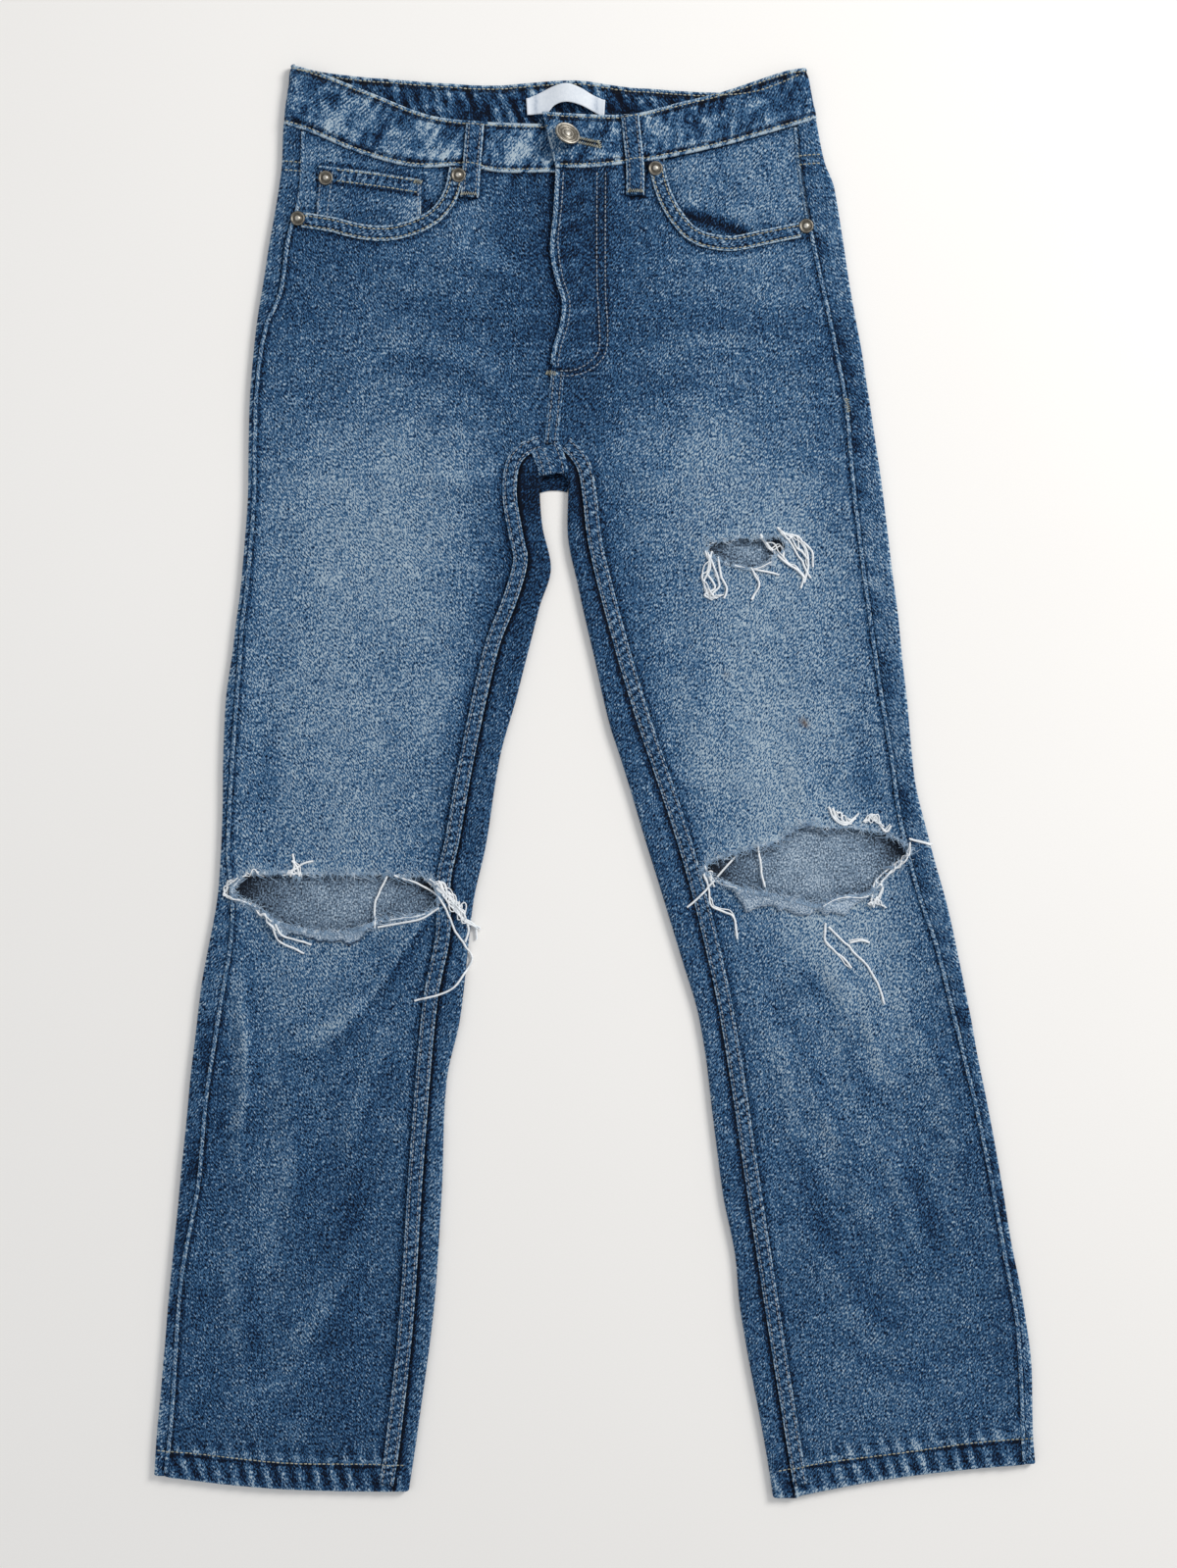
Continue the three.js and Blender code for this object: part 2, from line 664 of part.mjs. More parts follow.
// The button stands on the under lap, and each rivet on the highest cloth under its rim.
const buttonMesh = addPiece('button', button(), 'metal');
buttonMesh.position.set(BUTTON.x, BUTTON.y, bandCentre('right', BUTTON.x) + BAND_CLOTH / 2 + 0.1);

function addRivet(name, sideName, x, y, rise) {
  const around = steps(8).map((t) => 2 * Math.PI * t);
  const heights = around.map((angle) => {
    const rimX = x + RIVET_RADIUS * Math.cos(angle);
    const rimY = y + RIVET_RADIUS * Math.sin(angle);
    return topHeight(SIDES[sideName], rimX, rimY) + rise(rimX, rimY);
  });
  addPiece(name, rivet(), 'metal').position.set(x, y, Math.max(...heights) + 0.2);
}

addRivet('rivet_right_inner', 'right', -106.5, 461, coinLift);
addRivet('rivet_right_outer', 'right', -224, 427, coinLift);
addRivet('rivet_coin', 'right', -204, 460, () => 0);
addRivet('rivet_left_inner', 'left', 45.5, 467, flyLift);
addRivet('rivet_left_outer', 'left', 160.5, 423, flyLift);

export default jeans;
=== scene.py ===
# %% [markdown]
# # Straight-leg jeans with torn knees, lying on their back
#
# The trousers lie flat on a pale surface and are seen from straight above. Each cut piece of cloth is
# a grid that is laid on the form of its solid in the frame, then given its folds, puckers and wear.
# Lengths are written in millimetres, as on a cutting table, and become metres when a mesh is made.

# %% Open the frame
import bpy
import bmesh
import math
import numpy as np
from mathutils import Matrix, Vector
from mathutils.bvhtree import BVHTree


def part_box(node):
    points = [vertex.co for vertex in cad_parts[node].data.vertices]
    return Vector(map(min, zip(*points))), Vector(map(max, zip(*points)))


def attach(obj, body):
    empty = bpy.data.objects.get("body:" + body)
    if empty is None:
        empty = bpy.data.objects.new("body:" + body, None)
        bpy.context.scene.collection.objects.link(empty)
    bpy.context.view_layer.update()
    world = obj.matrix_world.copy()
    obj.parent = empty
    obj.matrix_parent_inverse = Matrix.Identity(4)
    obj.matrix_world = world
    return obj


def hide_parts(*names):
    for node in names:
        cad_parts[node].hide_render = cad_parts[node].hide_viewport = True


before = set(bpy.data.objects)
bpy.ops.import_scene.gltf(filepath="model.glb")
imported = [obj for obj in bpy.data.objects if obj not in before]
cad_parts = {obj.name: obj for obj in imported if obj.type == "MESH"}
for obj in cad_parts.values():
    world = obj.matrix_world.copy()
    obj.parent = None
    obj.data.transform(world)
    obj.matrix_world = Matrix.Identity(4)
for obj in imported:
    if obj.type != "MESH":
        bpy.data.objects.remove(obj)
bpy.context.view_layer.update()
MM = 0.001

# %% [markdown]
# ## Camera, floor and light
#
# A garment for sale is often laid on paper and looked at from straight above. A 48 mm lens at 1.6 m
# takes in the whole of it with little bending at the edges. One large soft lamp stands high on the
# right, so that ridges catch light on one side, and the pale sky fills the shadows.

# %% Camera
camera_data = bpy.data.cameras.new("camera")
camera_data.lens = 48.03
camera = bpy.data.objects.new("camera", camera_data)
camera.location = (-0.0049, -0.0015, 1.6)
bpy.context.collection.objects.link(camera)
bpy.context.scene.camera = camera
bpy.context.scene.view_settings.view_transform = "Standard"
print("lens", camera_data.lens, "mm, camera height", camera.location.z, "m")

# %% Lamps and sky
def add_lamp(name, place, target, size, power, colour):
    lamp_data = bpy.data.lights.new(name, "AREA")
    lamp_data.shape = "SQUARE"
    lamp_data.size = size
    lamp_data.energy = power
    lamp_data.color = colour
    lamp = bpy.data.objects.new(name, lamp_data)
    lamp.location = place
    lamp.rotation_euler = (Vector(target) - Vector(place)).to_track_quat("-Z", "Y").to_euler()
    bpy.context.collection.objects.link(lamp)
    return lamp


add_lamp("window_light", (2.1, 1.5, 1.9), (0.0, 0.0, 0.0), 1.1, 75, (1.0, 0.985, 0.96))
add_lamp("fill_light", (-1.6, -0.4, 2.2), (0.0, -0.1, 0.0), 1.8, 8, (0.94, 0.97, 1.0))
world = bpy.data.worlds.new("pale_room")
bpy.context.scene.world = world
world.use_nodes = True
world.node_tree.nodes["Background"].inputs["Color"].default_value = (0.95, 0.97, 1.0, 1)
world.node_tree.nodes["Background"].inputs["Strength"].default_value = 0.48
print("2 lamps and a pale sky")

# %% [markdown]
# ## Small helpers for fields
#
# Cloth is described with numbers that change smoothly over it. A line through a few places gives the
# outline of a leg, an eased step gives a soft rise, and a patchy field gives the uneven look of cloth
# that has been worn and washed. They all work on whole arrays, so a grid is shaped in one go.

# %% Soft steps and smooth lines
def ease(t):
    t = np.clip(t, 0, 1)
    return t * t * (3 - 2 * t)


def lerp(a, b, t):
    return a + (b - a) * t


def bell(distance, width):
    """1 at no distance, fading softly to almost 0 at twice this width."""
    return np.exp(-(distance / width) ** 2)


def taper_along(along, length, start, finish):
    """1 along a line, easing to 0 at its ends; the numbers say how quickly at each end."""
    return ease(along / length * start) * ease((1 - along / length) * finish)


def every(*groups):
    """All the pieces of some groups of pieces, one after the other."""
    return [piece for group in groups for piece in group.values()]


def through(points):
    """A smooth value through (where, value) points, level past both ends."""
    where, value = np.array(sorted(points), dtype=float).T
    last = len(where) - 1
    before = np.maximum(np.arange(last + 1) - 1, 0)
    after = np.minimum(np.arange(last + 1) + 1, last)
    slope = (value[after] - value[before]) / (where[after] - where[before])

    def at(spot):
        spot = np.clip(np.asarray(spot, dtype=float), where[0], where[-1])
        k = np.clip(np.searchsorted(where, spot, side="right") - 1, 0, last - 1)
        run = where[k + 1] - where[k]
        rise = value[k + 1] - value[k]
        t = (spot - where[k]) / run
        bend = (1 - t) * (slope[k] * run - rise) + t * (rise - slope[k + 1] * run)
        return value[k] + rise * t + t * (1 - t) * bend

    return at


print("halfway up a soft step:", float(ease(0.5)))

# %% Patches
NOISE = np.random.default_rng(7).uniform(-1, 1, (256, 256))


def patchy(x, y, size, shift=0):
    """A smooth uneven field from -1 to 1, with patches of about this size."""
    u = np.asarray(x, dtype=float) / size + 17.31 * shift + 50
    v = np.asarray(y, dtype=float) / size + 31.73 * shift + 50
    i = np.floor(u).astype(int)
    j = np.floor(v).astype(int)
    fu = ease(u - i)
    fv = ease(v - j)
    low = lerp(NOISE[i % 256, j % 256], NOISE[(i + 1) % 256, j % 256], fu)
    high = lerp(NOISE[i % 256, (j + 1) % 256], NOISE[(i + 1) % 256, (j + 1) % 256], fu)
    return lerp(low, high, fv)


print("the patches draw on", NOISE.size, "fixed numbers")


# %% Distance from a drawn line, and places inside an outline
def from_line(x, y, points):
    """Each place's distance from a drawn line and how far along the line that is."""
    nearest = np.full(np.shape(x), 1e9)
    along = np.zeros(np.shape(x))
    passed = 0.0
    for (ax, ay), (bx, by) in zip(points, points[1:]):
        length = math.hypot(bx - ax, by - ay)
        t = np.clip(((x - ax) * (bx - ax) + (y - ay) * (by - ay)) / length ** 2, 0, 1)
        gap = np.hypot(x - ax - t * (bx - ax), y - ay - t * (by - ay))
        along = np.where(gap < nearest, passed + t * length, along)
        nearest = np.minimum(nearest, gap)
        passed += length
    return nearest, along, passed


def inside(x, y, outline):
    """True for the places inside a closed outline."""
    within = np.zeros(np.shape(x), dtype=bool)
    for (ax, ay), (bx, by) in zip(outline, outline[1:] + outline[:1]):
        if ay == by:
            continue
        crosses = ((ay > y) != (by > y)) & (x < (bx - ax) * (y - ay) / (by - ay) + ax)
        within ^= crosses
    return within


print("a point 3 mm off a line is", float(from_line(5, 3, [(0, 0), (10, 0)])[0]), "mm from it")

# %% [markdown]
# ## The cut of the two halves
#
# Each half of the trousers is a tube. Its sides are folded edges, the outer and the inner crest, and
# the two seams run a little inside them because the back is wider than the front. The same lines
# shape the solids in the frame, so the cloth lies on their form.

# %% One half of the trousers
CLOTH = 1.1
HEM_WIDTH = 20
CROTCH_Y = 254
CENTRE_X = -32.7
FOLD_HEIGHT = 6.4
FOLD_SPREAD = 24
THIGH_LAYERS = 3.0
HIP_LAYERS = 6.4
HEM_LAYERS = 5.8
LAYER = 1.6
SEAM_GAP = 0.3


class Half:
    """One leg with its half of the hips; sign is -1 on the wearer's right and 1 on the left."""

    def __init__(self, sign, hem_outer, hem_inner, hem_bow, pocket_x, yoke_side_y,
                 outer, inner, outseam, inseam):
        self.sign = sign
        self.word = "left" if sign > 0 else "right"
        self.inwards = -sign
        self.hem_outer = hem_outer
        self.hem_inner = hem_inner
        self.hem_bow = hem_bow
        self.pocket_x = pocket_x
        self.yoke_side_y = yoke_side_y
        self.outer = through(outer)
        self.inner = through(inner)
        self.outseam_line = through(outseam)
        self.inseam = through(inseam)

    def crests(self, y):
        """Where the outer and the inner folded edge begin to turn under."""
        radius = FOLD_HEIGHT / 2
        wander = 0.5 * patchy(y, 0 * y, 34, 3 + self.sign)
        outer = self.outer(y) - self.sign * (radius - wander)
        inner = self.inner(y) + self.sign * (radius - 0.4 * wander)
        return outer, inner

    def outseam(self, y):
        outer, _ = self.crests(y)
        furthest = outer - self.sign
        seam = self.outseam_line(y)
        return np.maximum(furthest, seam) if self.sign < 0 else np.minimum(furthest, seam)

    def hem_y(self, across, up):
        bow = self.hem_bow * np.sin(np.pi * across) * np.exp(-9 * up)
        return lerp(lerp(self.hem_outer, self.hem_inner, across), CROTCH_Y, up) + bow


print("a hem is turned up", HEM_WIDTH, "mm")

# %% Lines of the two halves
right = Half(
    sign=-1, hem_outer=-529, hem_inner=-541, hem_bow=-4, pocket_x=-128, yoke_side_y=471,
    outer=[
        (546, -232), (502, -237.5), (463, -239.5), (403, -250), (313, -262), (200, -266),
        (110, -275), (65, -281.5), (-47, -285), (-92, -289), (-160, -301), (-295, -315.5),
        (-430, -328.5), (-500, -334.5), (-529, -336.4),
    ],
    inner=[
        (256, -32.9), (236, -33.4), (233.5, -37.5), (230, -41), (224, -42), (195, -40),
        (162, -33.5), (133, -42.4), (65, -59.6), (20, -72.4), (-47, -83), (-92, -92.6),
        (-182, -103), (-227, -113), (-317, -117),
        (-407, -123.4), (-497, -135.4), (-541, -142),
    ],
    outseam=[
        (500, -223), (445, -226), (413, -234.5), (374, -240), (345, -252), (293, -259),
        (110, -270.5), (-47, -280.5), (-95, -277), (-129, -279.5), (-164, -285.5), (-243, -297.5),
        (-305, -303), (-378, -316), (-484, -323.5), (-529, -328),
    ],
    inseam=[
        (254, -39), (251, -48), (244, -56), (234, -59), (216, -59.6), (182, -53.6), (168, -51.5),
        (136, -60.4), (104, -73), (20, -92), (-47, -104), (-75, -110), (-117, -110.6),
        (-168, -120.4), (-294, -131), (-415, -139), (-506, -149), (-541, -154.5),
    ],
)
left = Half(
    sign=1, hem_outer=-520, hem_inner=-546, hem_bow=3.5, pocket_x=64, yoke_side_y=476,
    outer=[
        (543, 161.6), (506, 168.4), (473, 175), (453, 182.6), (381, 194), (291, 209.6),
        (200, 222.4), (110, 233), (20, 242), (-2, 245), (-47, 255.4), (-92, 268), (-182, 287),
        (-272, 304.5), (-362, 320), (-430, 332), (-497, 334.5), (-520, 336.4),
    ],
    inner=[
        (256, -32.5), (238, -31.6), (235, -26), (231, -21), (224, -20.4), (186, -20.6),
        (147, -12.4), (110, -4), (43, 11.6),
        (20, 19), (-47, 39.4), (-137, 67), (-182, 80), (-272, 92), (-317, 98), (-362, 107),
        (-407, 111.4), (-497, 128), (-546, 136),
    ],
    outseam=[
        (505, 153.8), (473, 156.4), (432, 163), (336, 183.4), (288, 192.4), (217, 199), (81, 217),
        (20, 227), (-32, 234.4), (-85, 248), (-125, 261.4), (-173, 273.4), (-268, 296),
        (-364, 314), (-414, 323), (-520, 328),
    ],
    inseam=[
        (254, -26), (250, -21), (238, -13), (212, -8.6), (186, -5.6), (146, 3.4), (61, 27.4),
        (-43, 62), (-116, 82), (-184, 96.4), (-340, 120.4), (-447, 137), (-546, 153),
    ],
)
HALVES = (right, left)
print("hem width", round(float(right.inner(-530) - right.outer(-530))), "mm on the right leg")

# %% Lines of the waist
centre_front = through([
    (468, -29), (432, -31), (404, -33.4), (381, -29), (366, -24.5), (348, -26), (322, -33),
    (CROTCH_Y, CENTRE_X),
])
front_band_top = {
    right: through([(-232, 546), (-211, 540), (-170, 524), (-129, 508), (-96, 503), (-42, 500.6),
                    (4, 501)]),
    left: through([(-40, 509), (-7, 507), (16, 506.6), (37, 509.6), (65, 517), (96, 524.6),
                   (146, 541), (162, 543.4)]),
}
front_band_bottom = {
    right: through([(-237.5, 502), (-218, 496), (-180, 480), (-138, 469), (-101, 469.5), (-71, 465),
                    (-35, 465), (6, 465)]),
    left: through([(-30, 467.6), (-1, 468), (41, 473.6), (96, 485), (153, 501), (168.4, 506)]),
}
back_band_top = through([
    (-232, 546), (-197, 540), (-124, 533), (-71, 531.4), (-15, 534.6), (34, 529), (96, 525.4),
    (126, 529), (162, 543.4),
])
back_band_bottom = through([
    (-237.5, 502), (-197, 499), (-124, 492), (-71, 490.5), (-15, 493), (34, 488), (96, 485),
    (130, 492), (168.4, 506),
])
waist = float(left.outer(543) - right.outer(546))
print("the waist is", round(waist), "mm across, laid flat")

# %% [markdown]
# ## How high the cloth lies
#
# The upper layer lies on the lower one, so its height is the sum of the layers under it, and it rises
# to the folded edges, where the cloth stands in a small loop. Hidden pockets and the fly lift it a
# little more. These heights are those of the frame.

# %% Height of the stacked layers
POCKET_TOP = 418
POCKET_FOOT = 262
POCKET_TOP_HALF = 70
POCKET_FOOT_HALF = 60
POCKET_POINT = 24
LOOP_WIDTH = 12.7
LOOP_THICKNESS = 1.6
LOOP_FOOT_Y = 470
BACK_LOOPS = {"centre": CENTRE_X, "right": CENTRE_X - 100, "left": CENTRE_X + 100}
FLY_WIDTH = 34
FLY_BOTTOM = 322
LAP_RISE = 3.1
BAND_FRONT_Z = 6.4
BAND_THICKNESS = 2.6


def lift_over(x, y, centre_x, half_x, low, high, height, fade):
    """The rise of cloth that lies over something flat, easing down past its edges."""
    beyond_x = np.maximum(0, np.abs(x - centre_x) - half_x)
    beyond_y = np.maximum(0, np.maximum(low - y, y - high))
    return height * ease(1 - beyond_x / fade) * ease(1 - beyond_y / fade)


def back_lift(x, y):
    lifts = [
        lift_over(x, y, half.pocket_x, POCKET_TOP_HALF + 16, POCKET_FOOT - 4, POCKET_TOP + 27, LAYER, 20)
        for half in HALVES
    ]
    lifts += [
        lift_over(x, y, centre, LOOP_WIDTH / 2 + 16, LOOP_FOOT_Y - 20, 600, LOOP_THICKNESS + SEAM_GAP, 20)
        for centre in BACK_LOOPS.values()
    ]
    return np.max(lifts, axis=0)


def coin_lift(x, y):
    return lift_over(x, y, -180, 68, 384, 600, LAYER, 26)


def fly_lift(x, y):
    height = LAYER * ease((y - 296) / 26) + (LAP_RISE - LAYER) * ease((y - 425) / 38)
    return height * ease((centre_front(y) + FLY_WIDTH + 34 - x) / 30)


def layer_height(half, x, y):
    """How high the upper layer lies over the lower one before anything loosens it."""
    outer, inner = half.crests(y)
    flat = THIGH_LAYERS + (HIP_LAYERS - THIGH_LAYERS) * ease((y - 150) / 90)
    flat = flat + (HEM_LAYERS - THIGH_LAYERS) * ease((-440 - y) / 50)
    rise = bell(x - outer, FOLD_SPREAD) + bell(x - inner, FOLD_SPREAD)
    return flat + (FOLD_HEIGHT - flat) * np.minimum(1, rise)


FRONT_LIFT = {right: coin_lift, left: fly_lift}
print("the fold stands", FOLD_HEIGHT, "mm high")

# %% [markdown]
# ## Creases of the lying cloth
#
# Cloth that has been worn keeps soft bends: across the hips, out from the crotch, and down the shins
# from the torn knees. Each one here is a line on the cloth with a width and a height; a ridge is
# positive and a trough negative, and both fade out at their ends. A pressed fold has one sharp side
# and one soft one, as cloth that was folded over and lay for a while.

# %% Torn places
RIGHT_KNEE_TEAR = [
    (-276, -83), (-270, -74), (-262, -69), (-248, -71), (-234, -69), (-226, -74), (-221, -70.5),
    (-206, -71), (-190, -71.5), (-179, -70.5), (-164, -71), (-150, -72), (-133, -72.5), (-124, -75),
    (-119, -82), (-119, -90), (-121, -96), (-129, -100), (-138, -102.5), (-148, -103.5), (-156, -104.5),
    (-164, -106), (-171, -109), (-180, -112.5), (-190, -114.5), (-204, -115.5), (-216, -114),
    (-226, -112), (-236, -109.5), (-245, -105.5), (-252, -100), (-258, -95), (-265, -91.5), (-272, -89),
]
LEFT_KNEE_TEAR = [
    (82, -67), (88, -61), (98, -57), (108, -55), (118, -51), (128, -49), (137, -46.5), (146, -41),
    (153, -36), (159, -32), (170, -34), (183, -35.5), (194, -35), (205, -36.5), (216, -38.5),
    (226, -42), (236, -47), (240, -53), (235, -60), (226, -67), (219, -75), (212, -83), (207, -87),
    (198, -87.5), (189, -88), (181, -90), (174, -94), (167, -94.5), (159, -92), (145, -88.5), (132, -86),
    (120, -84), (108, -81), (97, -77), (88, -72),
]
LEFT_THIGH_TEAR = [
    (84.5, 175.5), (87, 180), (90, 182), (98, 183), (105, 185), (111, 186.5), (118, 184),
    (125, 185.5), (136, 187.5), (141, 186), (146, 181), (146, 177), (137, 173), (134, 168),
    (126, 164), (119, 163), (106, 165.5), (94, 170), (87, 174),
]
TEARS = {right: [RIGHT_KNEE_TEAR], left: [LEFT_KNEE_TEAR, LEFT_THIGH_TEAR]}
print(sum(len(tears) for tears in TEARS.values()), "torn openings")

# %% Creases and pressed folds
CREASES = [
    # line, width, height
    ([(-150, -180), (-176, -240), (-190, -300)], 10, 1.3),
    ([(-240, -210), (-228, -280), (-236, -350)], 10, 1.2),
    ([(-170, -330), (-200, -400), (-240, -460)], 13, 1.5),
    ([(-280, -330), (-270, -400), (-262, -470)], 11, 1.2),
    ([(140, -170), (170, -240), (200, -300)], 9, 1.5),
    ([(210, -250), (240, -320), (262, -380)], 11, 1.5),
    ([(160, -330), (200, -400), (240, -450)], 13, 1.5),
    ([(250, -180), (270, -250), (285, -320)], 9, 1.3),
    ([(150, 30), (160, -10), (158, -36)], 8, 0.9),
    ([(-170, -165), (-188, -184), (-214, -202)], 8, 1.2),
    ([(-170, -160), (-200, -192), (-230, -210)], 12, 1.3),
    ([(-274, -135), (-265, -199), (-265, -230), (-271, -283), (-274, -314)], 7, 1.2),
    ([(-284, -150), (-279, -205), (-281, -262), (-286, -300)], 8, -0.9),
    ([(-166, -287), (-182, -340), (-200, -400)], 20, -1.2),
    ([(-226, -260), (-240, -330), (-246, -400)], 26, 0.8),
    ([(-190, -440), (-240, -470), (-290, -500)], 18, 0.7),
    ([(171, -125), (192, -177), (190, -202), (206, -240)], 9, 1.5),
    ([(197, -137), (211, -192), (226, -236)], 8, 1.4),
    ([(144, -125), (187, -168), (197, -211), (230, -258)], 11, -1.5),
    ([(197, -292), (218, -336), (240, -390)], 12, 1.2),
    ([(150, -250), (176, -320), (190, -372)], 13, -1.1),
    ([(240, -270), (262, -330), (274, -380)], 14, -0.9),
    ([(128, -180), (150, -230), (160, -290)], 10, 0.9),
    ([(170, -420), (215, -455), (262, -470)], 16, 0.8),
    ([(222, -140), (246, -196), (262, -250)], 9, 0.9),
    ([(-60, 300), (-110, 322), (-170, 330)], 12, 0.8),
    ([(-50, 330), (-100, 354), (-180, 362)], 10, -0.7),
    ([(-46, 376), (-90, 396), (-120, 404)], 8, 0.7),
    ([(20, 330), (80, 344), (150, 340)], 12, 0.8),
    ([(22, 300), (70, 308), (140, 300)], 10, -0.7),
    ([(26, 376), (70, 384), (140, 382)], 9, 0.7),
    ([(-62, 236), (-96, 226), (-140, 232)], 9, 0.8),
    ([(-6, 236), (26, 228), (70, 236)], 9, 0.8),
    ([(-70, 120), (-110, 60), (-130, -10)], 20, 0.8),
    ([(50, 100), (90, 40), (110, -20)], 20, 0.8),
    ([(-235, 60), (-246, 0), (-240, -50)], 14, -0.7),
    ([(200, 60), (214, 0), (216, -30)], 12, -0.8),
]
PRESSED_FOLDS = [
    # line down the fold, width of its soft side, height; the sharp side is to the left going down
    ([(-120, -93), (-133, -112), (-148, -134), (-163, -157), (-181, -178), (-196, -192)], 16, 3.2),
    ([(-268, -128), (-264, -199), (-265, -240), (-271, -300)], 12, 1.3),
    ([(176, -116), (196, -160), (199, -198), (214, -240)], 14, 1.9),
    ([(206, -122), (222, -176), (236, -224)], 12, 1.5),
    ([(206, -286), (226, -330), (250, -384)], 16, 1.4),
    ([(120, -150), (146, -206), (160, -262)], 14, 1.2),
    ([(-178, -300), (-196, -352), (-214, -398)], 20, 1.1),
    ([(22, 246), (44, 234), (80, 228)], 9, 0.8),
]
print(len(CREASES), "creases and", len(PRESSED_FOLDS), "pressed folds")


# %% Height of creases, ripples and torn rims
def signed_gap(x, y, points):
    """Distance from a drawn line, negative on its left side going along it."""
    gap, _, _ = from_line(x, y, points)
    side = np.zeros(np.shape(x))
    nearest = np.full(np.shape(x), 1e9)
    for (ax, ay), (bx, by) in zip(points, points[1:]):
        middle = np.hypot(x - (ax + bx) / 2, y - (ay + by) / 2)
        turn = (bx - ax) * (y - ay) - (by - ay) * (x - ax)
        side = np.where(middle < nearest, turn, side)
        nearest = np.minimum(nearest, middle)
    return np.where(side > 0, -gap, gap)


CREASE_DEPTH = 1.7
DEEPEST = 0.5


def crease_height(x, y):
    height = np.zeros(np.shape(x))
    for line, width, size in PRESSED_FOLDS:
        gap = signed_gap(x, y, line)
        _, along, length = from_line(x, y, line)
        taper = taper_along(along, length, 4, 2.5)
        soft = np.where(gap < 0, 2.2, width)
        height += size * taper * bell(gap, soft)
    for line, width, size in CREASES:
        gap, along, length = from_line(x, y, line)
        taper = taper_along(along, length, 3.2, 3.2)
        wavy = 1 + 0.35 * patchy(x, y, width * 2.2, 5)
        height += CREASE_DEPTH * size * wavy * taper * bell(gap, width)
    return height


def tear_rim(half, x, y):
    """How far a place is from the edge of the nearest torn opening."""
    gaps = [from_line(x, y, tear + tear[:1])[0] for tear in TEARS[half]]
    return np.min(gaps, axis=0)


def loose_height(half, x, y):
    """What the lying cloth adds to the stack: broad ripples, creases and lifted torn rims."""
    ripples = 0.55 * patchy(x, y, 62, 1) + 0.22 * patchy(x, y, 21, 2) + 0.10 * patchy(x, y, 9, 4)
    rim = tear_rim(half, x, y)
    lifted = 2.8 * np.exp(-rim / 8) * (0.75 + 0.5 * patchy(x, y, 11, 6))
    loose = ripples + crease_height(x, y) + lifted
    return np.where(loose < 0, DEEPEST * np.tanh(loose / DEEPEST), loose)


sample = loose_height(right, np.array([-163.0]), np.array([-157.0]))
print("the sharpest fold of the right shin stands", round(float(sample[0]), 1), "mm proud")
